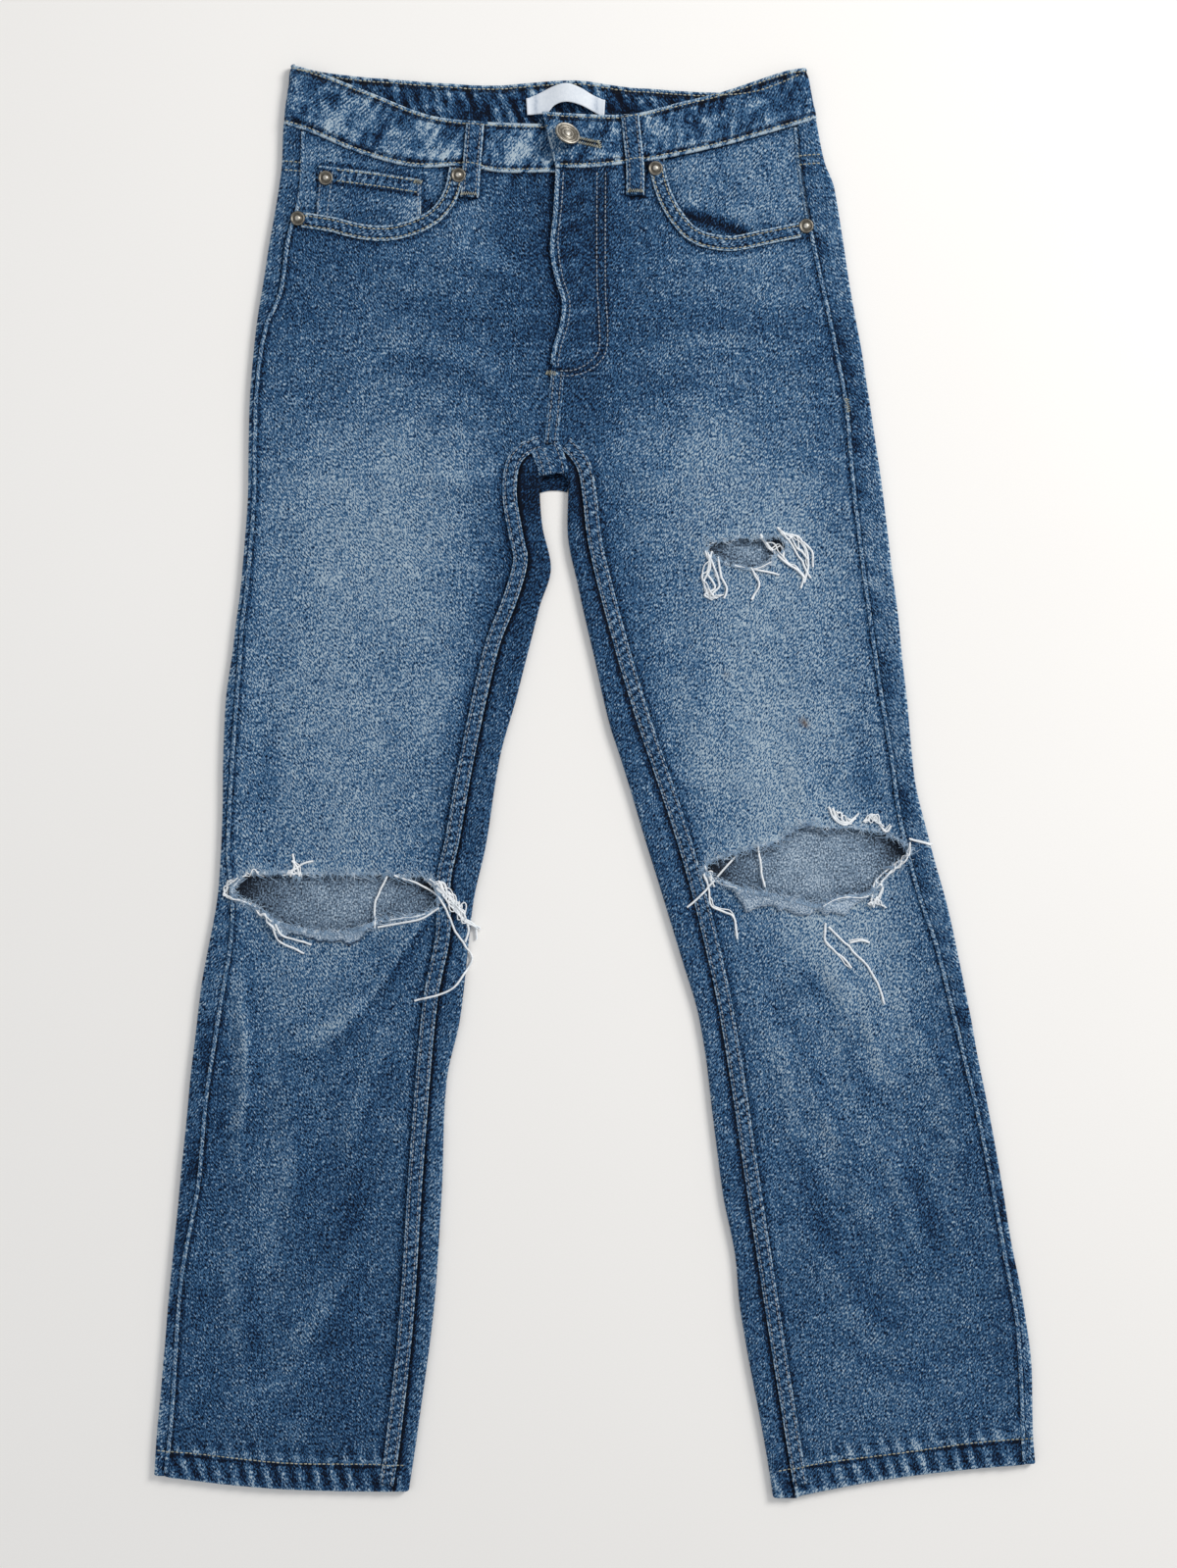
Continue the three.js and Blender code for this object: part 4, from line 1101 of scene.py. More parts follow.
def loop_shade(half, x, y):
    """The painted shadow on the cloth beside and below a belt loop."""
    foot = LOOP_LINES[half][-1][1]
    middle = through([(line_y, line_x) for line_x, line_y in LOOP_LINES[half]])(y)
    gap = np.abs(x - middle) - LOOP_WIDTH / 2
    beside_it = bell(gap, 2.2) * (y > foot)
    below_it = bell(foot - 1.0 - y, 1.6) * (gap < 1)
    return np.maximum(beside_it, below_it)


print("pocket mouths from", MOUTH_LINES[right][0], "to", MOUTH_LINES[right][-1])

# %% The form and the wear of a front
FLY_INNER_ROW = [(1.5, 464), (1.5, 384), (3, 352), (3, 329), (-4, 320), (-15, 314), (-28, 313)]
FLY_OUTER_ROW = [(8, 464), (8, 372), (9.6, 348), (8.4, 328), (1, 317), (-12, 310.5), (-28, 309)]


def front_surface(half, x, y):
    """How high the front lies and how pale it is, with all its folds, seams and wear, and painted shade
    beside its raised edges and in its stitched grooves.
    """
    z = layer_height(half, x, y) + FRONT_LIFT[half](x, y) + loose_height(half, x, y)
    out_pull, in_pull, hem_pull = seam_pull(half, x, y)
    below_band = np.maximum(0, front_band_bottom[half](x) - y)
    waist_pull = slanted_pull(x, below_band, 15, 0.25, 34) * np.exp(-below_band / 12) * (y > 380)
    mouth_gap = from_line(x, y, MOUTH_LINES[half])[0]
    z += 0.4 * waist_pull + 0.9 * bell(mouth_gap, 7)
    fly_rows = 0
    if half is left:
        for row in (FLY_INNER_ROW, FLY_OUTER_ROW):
            fly_rows += bell(from_line(x, y, row)[0], 1.7)
        fold_over = centre_front(y) + 12 - x
        fly_pull = slanted_pull(y, fold_over, 17, 0.5, 36) * bell(np.abs(fold_over), 16)
        fly_pull = fly_pull * ease((y - 300) / 20)
        z += 0.4 * fly_pull - 0.3 * fly_rows
    up = hem_share(y, x, half)
    z += 0.32 * out_pull + 0.25 * in_pull + 0.75 * hem_pull
    z += 0.5 * ease((HEM_WIDTH + 1 - up) / 2) - 0.35 * bell(up - HEM_WIDTH, 1.2)
    pale = cloth_paleness(half, x, y)
    # The pulls are wear; the fly rows are painted shade in the grooves of the fly's stitching
    pale += 0.1 * out_pull + 0.07 * in_pull + 0.48 * hem_pull + 0.2 * waist_pull - 0.3 * fly_rows
    # Painted shadow under the waistband's lower edge and beside the outer edge of the pocket-mouth binding
    pale -= 0.34 * bell(below_band, 3.2) + 0.28 * bell(mouth_gap - 12, 1.8)
    if half is left:
        pale += 0.12 * fly_pull
    else:
        # Painted shadow on the right front beside the fly's edge
        beside_fly = np.maximum(0, centre_front(y) - x)
        pale -= 0.26 * bell(beside_fly, 4) * ease((y - 300) / 12)
    from_out, from_in = np.abs(x - half.outseam(y)), np.abs(x - half.inseam(y))
    # Painted shade beside the outseam cord, beside the felled inseam, and beside and below the belt loops
    pale -= 0.36 * bell(from_out - 3.2, 1.7)
    pale -= 0.3 * bell(from_in - 12, 2) * (y < CROTCH_Y - 8)
    pale -= 0.55 * loop_shade(half, x, y)
    # The hem's folded edge is worn pale; the dark line at the hem's top is painted shade in its stitched
    # groove
    pale += 0.34 * bell(up, 1.8) - 0.45 * bell(up - HEM_WIDTH + 1.6, 1.3)
    pale += 0.2 * bell(up - HEM_WIDTH - 2.6, 2.4)
    return z, pale


sample_z, _ = front_surface(left, np.array([110.0]), np.array([20.0]))
print("the left thigh lies", round(float(sample_z[0]), 1), "mm up")


# %% Laying a front
def front_ends(half, y, with_extension):
    """Where a front starts at the outseam and ends at the inseam, or at the fly above the crotch."""
    start = half.outseam(y) + half.inwards * SEAM_GAP / 2
    leg_end = half.inseam(y) - half.inwards * SEAM_GAP / 2
    extension = FLY_WIDTH * ease((y - FLY_BOTTOM - 22) / 40) if with_extension else 0
    hip_end = centre_front(y) - half.inwards * SEAM_GAP / 2 + extension
    return start, np.where(y > CROTCH_Y + 0.5, hip_end, leg_end)


def lay_front(half):
    def lay(i, j, openings):
        kinds = np.linspace(0, 1, len(FRONT_PLACES))[i]
        y = half.hem_y(kinds, row_up[j])
        waist_x = lerp(half.outseam(495.0), centre_front(468.0) + (FLY_WIDTH if half is right else 0), kinds)
        waist_y = front_band_bottom[half](waist_x) - WAIST_GAP
        y = np.where(row_hip[j] > 0, lerp(CROTCH_Y, waist_y, row_hip[j]), y)
        start, end = front_ends(half, y, half is right)
        x = spread(FRONT_PLACES, FRONT_INSET, i, start, end)
        for outline in openings:
            x, y = snap_to(x, y, outline, 1.75)
        z, pale = front_surface(half, x, y)
        middle = (half.outer(y) + half.inner(y)) / 2
        return x, y, z - row_deep[j], pale, (half.sign * (x - 0.85 * middle), y)
    return lay


print("the right front is", round(float(np.ptp(front_ends(right, 100.0, True)))), "mm wide at the thigh")

# %% Stains, and both fronts
STAINS = [(159.4, 46.1, 2.6, 0.85), (161.6, 43.2, 1.8, 0.6), (100.1, 82.1, 3.0, 0.25)]


def stain_at(x, y):
    """A brown spot on the left thigh and a fainter one beside it."""
    marks = [strength * bell(np.hypot(x - cx, y - cy), size) for cx, cy, size, strength in STAINS]
    return np.clip(np.sum(marks, axis=0), 0, 1)


ROUGH_TEARS = {half: [jagged(t, 40 + k) for k, t in enumerate(TEARS[half])] for half in HALVES}
fronts = {}
for half in HALVES:
    fronts[half] = cloth_grid(
        "front_panel_" + half.word, len(FRONT_PLACES) - 1, len(row_up) - 1, lay_front(half),
        openings=[MOUTHS[half]] + ROUGH_TEARS[half], flip=half is left,
    )
    spots = np.array([v.co[:2] for v in fronts[half].data.vertices]) / MM
    write_field(fronts[half].data, "stain", stain_at(*spots.T))
    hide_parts("front_" + half.word)
    print(fronts[half].name, len(fronts[half].data.polygons), "faces")

# %% [markdown]
# ## Backs and yokes
#
# A back goes all the way round under the leg: a strip on top beside the outseam, the folded outer
# edge, the part on the floor, the folded inner edge and a strip on top beside the inseam. It is one
# grid whose columns go round, so the folds are continuous. Above the crotch only the outer half of
# that way is left, and the yoke closes it at the waist.

# %% Round the leg
STRIP_COLUMNS = [0, 0.12, 0.25, 0.4, 0.55, 0.7, 0.85, 1.0]
FOLD_STEPS = 10
UNDER_STEPS = 44
strip_count = len(STRIP_COLUMNS)
RING = (
    [("outer_strip", t) for t in STRIP_COLUMNS]
    + [("outer_fold", k / FOLD_STEPS) for k in range(1, FOLD_STEPS + 1)]
    + [("under", k / UNDER_STEPS) for k in range(1, UNDER_STEPS + 1)]
    + [("inner_fold", k / FOLD_STEPS) for k in range(1, FOLD_STEPS + 1)]
    + [("inner_strip", t) for t in STRIP_COLUMNS[1:]]
)
RING_PARTS = ["outer_strip", "outer_fold", "under", "inner_fold", "inner_strip"]
RING_KIND = np.array([RING_PARTS.index(part) for part, _ in RING])
RING_SHARE = np.array([share for _, share in RING])


def knee_hollow(half, x, y):
    """The back seen through a torn knee isn't pressed flat; it rises in a few soft ridges."""
    near = np.zeros(np.shape(x))
    for tear in TEARS[half]:
        centre_x, centre_y = np.mean(tear, axis=0)
        reach_x, reach_y = np.ptp(tear, axis=0) * 0.42
        near += bell(x - centre_x, reach_x) * bell(y - centre_y, reach_y)
    return near * (0.9 + 0.7 * patchy(x + 0.6 * y, 0.3 * y, 19, 12))


def tear_shade(half, x, y):
    """Painted shade on the inside of the leg under the rims of a tear and most of all in its corners, with
    an even lightening and random patches.
    """
    rim = tear_rim(half, x, y)
    corners = np.zeros(np.shape(x))
    for cx, cy, reach in TEAR_CORNERS[half]:
        corners += np.exp(-np.hypot(x - cx, (y - cy) * 1.2) / reach)
    shade = 0.16 * bell(rim, 7) + 0.8 * np.minimum(corners, 1)
    return shade - (0.13 if half is left else 0.02) - 0.07 * patchy(x + 0.5 * y, 0.4 * y, 16, 12)


# Corners of each tear where the painted shade gathers: x, y and reach
TEAR_CORNERS = {
    right: [(-270, -80, 16), (-128, -80, 9)],
    left: [(232, -50, 18), (92, -66, 16), (86, 176, 8), (142, 181, 8)],
}


print(len(RING), "columns go round each leg")


# %% Laying a back round the leg
def lay_back(half, y_at, is_tube, deep):
    def lay(i, j, openings):
        kind, share = RING_KIND[i], RING_SHARE[i]
        across = np.select([kind <= 1, kind == 2], [0.0 * share, share], 1.0)
        y = y_at(across, j, kind, share)
        outer, inner = half.crests(y)
        radius = FOLD_HEIGHT / 2
        under_end = np.where(is_tube(j), inner, CENTRE_X - half.inwards * SEAM_GAP / 2)
        strip_start = half.outseam(y) - half.inwards * SEAM_GAP / 2
        strip_end = half.inseam(y) + half.inwards * SEAM_GAP / 2
        angle = np.pi * (0.5 - np.where(kind == 1, share, 1 - share))
        fold_way = np.where(kind == 1, half.sign, half.inwards)
        fold_x = np.where(kind == 1, outer, inner) + fold_way * np.cos(angle) * radius
        fold_z = radius + np.sin(angle) * radius
        x = np.select(
            [kind == 0, kind == 2, kind == 4],
            [lerp(strip_start, outer, share), lerp(outer, under_end, share), lerp(inner, strip_end, share)],
            fold_x,
        )
        out_pull, in_pull, hem_pull = seam_pull(half, x, y)
        on_top = layer_height(half, x, y) + 0.25 * patchy(x, y, 15, 13) + 0.3 * out_pull + 0.2 * in_pull
        flat_z = back_lift(x, y) + 0.06 + knee_hollow(half, x, y)
        z = np.select([(kind == 0) | (kind == 4), kind == 2], [on_top, flat_z], fold_z)
        normal_x = np.where((kind == 1) | (kind == 3), fold_way * np.cos(angle), 0)
        normal_z = np.select([kind == 2, (kind == 1) | (kind == 3)], [-1.0, np.sin(angle)], 1.0)
        depth = deep(j)
        x = x - normal_x * depth
        z -= normal_z * depth
        up = hem_share(y, x, half)
        pale = paleness(half, x, y) - 0.03 + 0.14 * out_pull * (kind <= 1) + 0.08 * in_pull * (kind >= 3)
        pale += 0.06 * patchy(x, y, 12, 10) + 0.16 * ease((-330 - y) / 120) * (kind <= 1)
        # The hem's roping is wear; the faint dark line above the hem is painted shade
        pale += 0.3 * hem_pull - 0.06 * bell(up - HEM_WIDTH - 1, 3.5)
        pale += 0.22 * bell(up, 1.6)
        from_seam = np.where(kind <= 1, np.abs(x - strip_start), np.abs(x - strip_end))
        blotch = ease(patchy(y, 0 * y, 21, 14 + half.sign) * 2.2 - 0.1)
        pale -= 0.24 * blotch * bell(from_seam - 4, 5) * (kind <= 1)
        # Painted shade beside the seams: a thin dark line by the outseam, and a dark band by the raised
        # felled inseam
        pale -= 0.3 * bell(from_seam, 1.7) * (kind <= 1)
        pale -= 0.75 * bell(from_seam, 2.7) * (kind >= 3)
        # Painted shade on the inner fold towards the crotch, where the legs shadow the gap
        pale -= 0.2 * bell(y - 222, 22) * (kind >= 3)
        pale += (0.16 * (kind == 1) + 0.07 * (kind == 3)) * bell(z - 4.4, 2)
        around = np.where(kind <= 1, half.sign * (strip_start - x) - z, x)
        return x, y, np.maximum(z, 0.05), pale, (around, y)
    return lay


print("the strip beside the outseam has", strip_count, "columns")

# %% Both backs and yokes
side_waist_y = {
    half: float(front_band_bottom[half](half.outseam(495.0))) - WAIST_GAP for half in HALVES
}


def yoke_seam_y(half, across):
    return lerp(half.yoke_side_y, 425, across)


def back_y(half):
    def at(across, j, kind, share):
        leg = half.hem_y(across, row_up[j])
        hip = lerp(CROTCH_Y, yoke_seam_y(half, across) - SEAM_GAP / 2, row_hip[j])
        return np.where(row_hip[j] > 0, hip, leg)
    return at


def yoke_y(half):
    def at(across, j, kind, share):
        under_x = lerp(half.crests(500.0)[0], CENTRE_X, across)
        top_x = lerp(half.outseam(497.0), half.outer(502.0), np.where(kind == 0, share, 1.0))
        waist = np.where(kind != 2, front_band_bottom[half](top_x), back_band_bottom(under_x)) - WAIST_GAP
        return lerp(yoke_seam_y(half, across) + SEAM_GAP / 2, waist, j / YOKE_ROWS)
    return at


YOKE_ROWS = 16
LAST_LEG_ROW = len(LEG_ROWS) - 1
first_inner_column = strip_count + FOLD_STEPS + UNDER_STEPS
backs, yokes = {}, {}
for half in HALVES:
    backs[half] = cloth_grid(
        "back_panel_" + half.word, len(RING) - 1, len(row_up) - 1,
        lay_back(half, back_y(half), lambda j: j <= LAST_LEG_ROW - 1, lambda j: row_deep[j]),
        drop=lambda i, j: (i >= first_inner_column - 1) & (j >= LAST_LEG_ROW - 1),
        flip=half is right,
    )
    yokes[half] = cloth_grid(
        "back_yoke_" + half.word, len(RING) - 1, YOKE_ROWS,
        lay_back(half, yoke_y(half), lambda j: j < 0, lambda j: 0.0 * j),
        drop=lambda i, j: i >= first_inner_column - 1,
        flip=half is right,
    )
    spots = np.array([v.co[:2] for v in backs[half].data.vertices]) / MM
    write_field(backs[half].data, "painted_shade", tear_shade(half, *spots.T))
    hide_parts("back_" + half.word)
    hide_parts("yoke_" + half.word)
    for piece in (backs[half], yokes[half]):
        print(piece.name, len(piece.data.polygons), "faces")

# %% [markdown]
# ## Pocket facings and the coin pocket
#
# A scooped pocket mouth shows the facing, a patch of the same denim one layer down, and the little
# coin pocket is sewn on the right one. The facing dips under the mouth, because the pocket under it is
# empty, and the shadow there is painted into its colour.

# %% Pocket facings
FACING_LOW = 0.64
FACING_COLUMNS = 64
FACING_ROWS = 40
FACING_REACH = {right: 0.58, left: 0.62}


def hip_place(half, across, up):
    """A place on the hip from its shares of the way across and of the way up from the crotch."""
    end_x = centre_front(468.0) + (FLY_WIDTH if half is right else 0)
    waist_x = lerp(half.outseam(495.0), end_x, across)
    y = lerp(CROTCH_Y, front_band_bottom[half](waist_x) - WAIST_GAP, up)
    start, end = front_ends(half, y, half is right)
    return lerp(start, end, across), y


def lay_facing(half):
    def lay(i, j, openings):
        across = i / FACING_COLUMNS * FACING_REACH[half]
        x, y = hip_place(half, across, lerp(FACING_LOW, 1, j / FACING_ROWS))
        gap = from_line(x, y, MOUTH_LINES[half])[0]
        z = layer_height(half, x, y) + FRONT_LIFT[half](x, y) - LAYER
        z += 0.3 * patchy(x, y, 22, 15) + 0.12 * patchy(x, y, 9, 16)
        deep = bell(gap, 12)
        pale = 0.43 + 0.09 * patchy(x, y, 11, 17) + (0.14 if half is left else 0.09)
        hollow_gap = from_line(x, y, POCKET_HOLLOWS[half])[0]
        painted_shade = bell(hollow_gap, 4.8)
        z -= 0.7 * deep + 0.8 * painted_shade
        # Painted shadow under the mouth's edge and along the pocket hollows, where the facing also dips
        pale -= 0.2 * bell(gap, 5) + (0.6 if half is left else 0.3) * painted_shade
        below_band = np.maximum(0, front_band_bottom[half](x) - y)
        # Painted shadow under the waistband's lower edge
        pale -= 0.34 * bell(below_band, 3.2)
        if half is right:
            # Painted shadow on the facing round the coin pocket's edges
            pale -= 0.36 * bell(from_line(x, y, COIN_EDGE)[0], 1.8)
        pale -= 0.12 * ease((np.abs(x - half.outseam(y)) - 6) / -8)
        return x, y, z, pale, (x, y)
    return lay


COIN_EDGE = [(-212, 425), (-211, 471), (-190, 468.5), (-160, 464.5), (-131, 460), (-131.5, 427)]
# Lines inside the pocket mouths where the facing dips and painted shade is laid
POCKET_HOLLOWS = {
    right: [(-128, 442), (-124, 437)],
    left: [(70, 433), (88, 428), (112, 420)],
}
facings = {}
for half in HALVES:
    facings[half] = cloth_grid(
        "pocket_facing_patch_" + half.word, FACING_COLUMNS, FACING_ROWS, lay_facing(half), flip=half is left,
    )
    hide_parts("pocket_facing_" + half.word)

print("facings", FACING_COLUMNS, "by", FACING_ROWS, "cells")

# %% Coin pocket
COIN_LEFT, COIN_RIGHT = -210.5, -132.5
COIN_COLUMNS = 66
COIN_ROWS = 40
COIN_HEM = 10.5
coin_top = through([(-212, 469.5), (-190, 467), (-160, 463), (-131, 458.5)])


def lay_coin(i, j, openings):
    t = i / COIN_COLUMNS
    from_top = np.array([-1.0, 0, 0.5, 1.2, 2.2] + list(np.linspace(3.4, 64, COIN_ROWS - 4)))[j]
    x = lerp(COIN_LEFT, COIN_RIGHT, t) - 0.05 * from_top * (t < 0.5) * (1 - 2 * t)
    y = coin_top(x) - np.maximum(from_top, 0)
    z = layer_height(right, x, y) + 0.5 + 0.2 * patchy(x, y, 14, 18)
    z += 0.45 * ease((COIN_HEM + 1 - from_top) / 1.5) - 1.0 * (from_top < 0)
    rope = slanted_pull(x, from_top, 6.0, 0.4, 31) * bell(from_top - 5.5, 5)
    z += 0.22 * rope
    from_side = np.minimum(x - x.min(), x.max() - x)
    pale = 0.42 + 0.1 * patchy(x, y, 10, 19) + 0.42 * rope + 0.44 * bell(from_top, 1.4)
    pale += 0.42 * bell(from_side, 1.3) + 0.16 * ease((x + 158) / 20) * ease((from_top - 12) / 6)
    # Painted shade under the coin pocket's hem
    pale -= 0.4 * bell(from_top - COIN_HEM - 1.6, 1.4)
    pale -= 0.3 * bell(from_top - 2.6, 0.9)
    return x, y, z, pale, (x, y)


coin_pocket = cloth_grid("coin_pocket_patch", COIN_COLUMNS, COIN_ROWS, lay_coin, flip=True)
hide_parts("coin_pocket")
print("coin pocket", round(COIN_RIGHT - COIN_LEFT), "mm wide")

# %% [markdown]
# ## Back pockets
#
# The two five-sided back pockets lie on the floor under the backs. Nothing but their shape and edge
# stitching can be seen, and only from below, so each is a plain patch cut from a grid.

# %% Back pocket patches
POCKET_CELLS = 30


def lay_back_pocket(half):
    def lay(i, j, openings):
        up = j / POCKET_CELLS
        half_width = lerp(POCKET_FOOT_HALF, POCKET_TOP_HALF, ease(up * 0.999))
        across = lerp(-1, 1, i / POCKET_CELLS)
        x = half.pocket_x + across * half_width
        low = POCKET_FOOT + POCKET_POINT * np.abs(across)
        y = lerp(low, POCKET_TOP, up)
        edge = np.minimum((1 - np.abs(across)) * half_width, np.minimum(y - low, POCKET_TOP - y))
        pale = 0.5 + 0.06 * patchy(x, y, 18, 20) + 0.2 * bell(edge, 2)
        z = 0.05 + 0.12 * bell(edge, 1.5)
        return x, y, z, pale, (x, y)
    return lay


back_pockets = {}
for half in HALVES:
    back_pockets[half] = cloth_grid(
        "back_pocket_patch_" + half.word, POCKET_CELLS, POCKET_CELLS, lay_back_pocket(half), flip=True,
    )
    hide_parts("back_pocket_" + half.word)
print("back pockets", 2 * POCKET_TOP_HALF, "mm wide at the top")

# %% [markdown]
# ## Waistband
#
# The waistband is a strip folded double, stitched along both edges. It goes from the under lap round
# the right hip, along the back with its inside showing, round the left hip and ends in the lap with
# the buttonhole. One grid goes round its cross-section while its rows follow the waist, so both faces
# and the rolled edges are real. The stitching ropes it, and the wash has left it mottled.

# %% The waistband's way round
BAND_HALF = BAND_THICKNESS / 2
BAND_FOLD_HEIGHT = 7.8
BAND_FOLD_STEPS = 12
BAND_FRONT_STEPS = 180
BAND_BACK_STEPS = 290


def band_centre_z(half, x):
    lap = LAP_RISE * ease((40 - x) / 30) if half is left else 0 * x
    return BAND_FRONT_Z + lap


def band_path():
    """Rows round the waist: top x, y, z, bottom x, y, z and the outward direction x, z."""
    rows = []
    inset = BAND_FOLD_HEIGHT / 2

    def front(half, lap_top, lap_bottom):
        t = np.arange(BAND_FRONT_STEPS + 1) / BAND_FRONT_STEPS
        top_x = lerp(lap_top, half.outer(546.0) - half.sign * inset, t)
        low_x = lerp(lap_bottom, half.outer(502.0) - half.sign * inset, t)
        return np.stack([
            top_x, front_band_top[half](top_x), band_centre_z(half, top_x),
            low_x, front_band_bottom[half](low_x), band_centre_z(half, low_x), 0 * t, 0 * t + 1,
        ], axis=1)

    def fold(half):
        t = np.arange(1, BAND_FOLD_STEPS) / BAND_FOLD_STEPS
        angle = np.pi * (0.5 - t)
        normal_x, normal_z = half.sign * np.cos(angle), np.sin(angle)
        sides = []
        for y, line in ((546.0, front_band_top), (502.0, front_band_bottom)):
            radius = inset - BAND_HALF
            x = half.outer(y) - half.sign * inset + normal_x * radius
            sides += [x, 0 * t + line[half](half.outer(y)), inset + normal_z * radius]
        return np.stack(sides + [normal_x, normal_z], axis=1)

    t = np.arange(BAND_BACK_STEPS + 1) / BAND_BACK_STEPS
    top_x = lerp(right.outer(546.0) + inset, left.outer(546.0) - inset, t)
    low_x = lerp(right.outer(502.0) + inset, left.outer(502.0) - inset, t)
    back = np.stack([
        top_x, back_band_top(top_x), BAND_HALF + 0.06 + back_lift(top_x, back_band_top(top_x)),
        low_x, back_band_bottom(low_x), BAND_HALF + 0.06 + back_lift(low_x, back_band_bottom(low_x)),
        0 * t, 0 * t - 1,
    ], axis=1)
    rows = [front(right, 2, 4), fold(right), back, fold(left)[::-1], front(left, -40, -30)[::-1]]
    return np.concatenate(rows)


print("the band goes round in", len(band_path()), "rows")

# %% The waistband's section and wear
BUTTONHOLE = [(-12, 487.6), (-7, 486.6), (-2, 485.4), (2.5, 484.4)]
BAND_EDGE = [0.0, 0.8, 1.7, 2.6, 3.6, 5.0]
BAND_MIDDLE = 20
BAND_ROLL = 4


def band_section():
    """Round the cross-section: share up the band, millimetres past that, and out from the middle."""
    face = [(0.0, e) for e in BAND_EDGE] + [(k / BAND_MIDDLE, 0.0) for k in range(2, BAND_MIDDLE - 1)]
    face += [(1.0, -e) for e in reversed(BAND_EDGE)]
    rolls = [math.pi * k / BAND_ROLL for k in range(1, BAND_ROLL)]
    section = [(share, past, 1.0) for share, past in face]
    section += [(1.0, 0.8 * math.sin(a), math.cos(a)) for a in rolls]
    section += [(share, past, -1.0) for share, past in reversed(face)]
    section += [(0.0, -0.8 * math.sin(a), -math.cos(a)) for a in rolls]
    return section + section[:1]


def lay_band(i, j, openings):
    path = band_path()
    section = np.array(band_section())
    row = path[j]
    share, past, out = section[i].T
    rise = row[:, 0:3] - row[:, 3:6]
    height = np.linalg.norm(rise, axis=1)
    place = row[:, 3:6] + rise * (share + past / height)[:, None]
    steps = np.linalg.norm(np.diff((path[:, 0:3] + path[:, 3:6]) / 2, axis=0), axis=1)
    round_waist = np.concatenate([[0], np.cumsum(steps)])[j]
    up = share * height + past
    edge = np.minimum(up, height - up)
    rope_top = slanted_pull(round_waist, up, 9, 0.55, 50) * bell(height - up, 15)
    rope_low = slanted_pull(round_waist, up, 10, 0.5, 52) * bell(up, 15)
    mottle = patchy(round_waist + 0.5 * up, up * 0.7, 8, 22) + 0.5 * patchy(round_waist, up, 4, 23)
    wrinkles = ease(1 - 4 * np.abs(patchy(round_waist + 0.6 * up, 0.6 * up, 9, 26)))
    wrinkles = wrinkles + 0.7 * ease(1 - 3 * np.abs(patchy(round_waist - 0.3 * up, 0.5 * up, 6, 27)))
    inner_face = out < 0
    rope = rope_top + rope_low + 0.9 * inner_face * slanted_pull(round_waist, up, 10.5, 0.35, 56)
    bump = 0.4 * rope + 0.15 * mottle + 0.2 * wrinkles - 0.45 * bell(edge - 2.2, 0.9)
    bump = bump * ease(edge / 2)
    offset = out * (BAND_HALF + np.minimum(bump, 0.9) * (out * out > 0.5))
    x = place[:, 0] + row[:, 6] * offset
    y = place[:, 1]
    z = place[:, 2] + row[:, 7] * offset
    pale = 0.36 + 0.07 * (x < -40) + 0.27 * rope + 0.26 * mottle + 0.26 * wrinkles
    pale += 0.08 * patchy(round_waist, up, 40, 24)
    pale -= 0.3 * inner_face * (0.6 + 0.6 * ease(1 - np.abs(up / height - 0.5) * 2.4))
    # The band's edges are worn pale; the dark line inside each edge is painted shade in the stitched groove
    pale += 0.46 * bell(edge, 1.5) - 0.44 * bell(edge - 3.2, 1.1)
    # Painted shadow beside and below the belt loops on the band's outer face
    for half in HALVES:
        pale -= 0.6 * loop_shade(half, x, y) * (row[:, 7] > 0)
    # The buttonhole's slit is painted in as a dark shadow line
    buttonhole_shadow = bell(from_line(x, y, BUTTONHOLE)[0], 1.1) * (x > -14) * (row[:, 7] > 0)
    pale -= 0.7 * buttonhole_shadow
    lap_end = len(path) - 1 - j
    pale += 0.28 * bell(lap_end, 1.6)
    return x, y, np.maximum(z, 0.05), pale, (-round_waist, up)


print(len(band_section()) - 1, "corners round the band's section")


# %% Closing the waistband
def finish_closed(piece, hold=0.00005):
    """Joins the grid's closing column to its first, closes the ends and turns the faces outwards."""
    bm = bmesh.new()
    bm.from_mesh(piece.data)
    bmesh.ops.remove_doubles(bm, verts=bm.verts[:], dist=hold)
    ends = [edge for edge in bm.edges if edge.is_boundary]
    bmesh.ops.holes_fill(bm, edges=ends, sides=0)
    bmesh.ops.recalc_face_normals(bm, faces=bm.faces[:])
    bm.to_mesh(piece.data)
    bm.free()
    piece.data.shade_smooth()


waistband = cloth_grid(
    "waistband_strip", len(band_section()) - 1, len(band_path()) - 1, lay_band, wall=None,
    materials=[denim_band],
)
finish_closed(waistband)
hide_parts("waistband")
print("waistband", len(waistband.data.polygons), "faces")

# %% [markdown]
# ## Strips that lie on the cloth
#
# Felled seams, bound edges, belt loops and the tape label are all narrow strips on top of something.
# One helper lays a strip along a line: it looks straight down for the cloth under each point, smooths
# what it finds along the way and builds a rounded strip on it.

# %% Looking down for the cloth
def tree_of(pieces):
    trees = []
    for piece in pieces:
        bm = bmesh.new()
        bm.from_mesh(piece.data)
        trees.append(BVHTree.FromBMesh(bm))
        bm.free()
    return trees


def height_on(trees, x, y, default=3.0, from_below=False):
    """The height in mm of the top, or of the underside, of the cloth at one place."""
    found = []
    start = Vector((x * MM, y * MM, -0.05 if from_below else 0.1))
    way = Vector((0, 0, 1 if from_below else -1))
    for tree in trees:
        hit = tree.ray_cast(start, way)[0]
        if hit is not None:
            found.append(hit.z / MM)
    if not found:
        return default
    return min(found) if from_below else max(found)


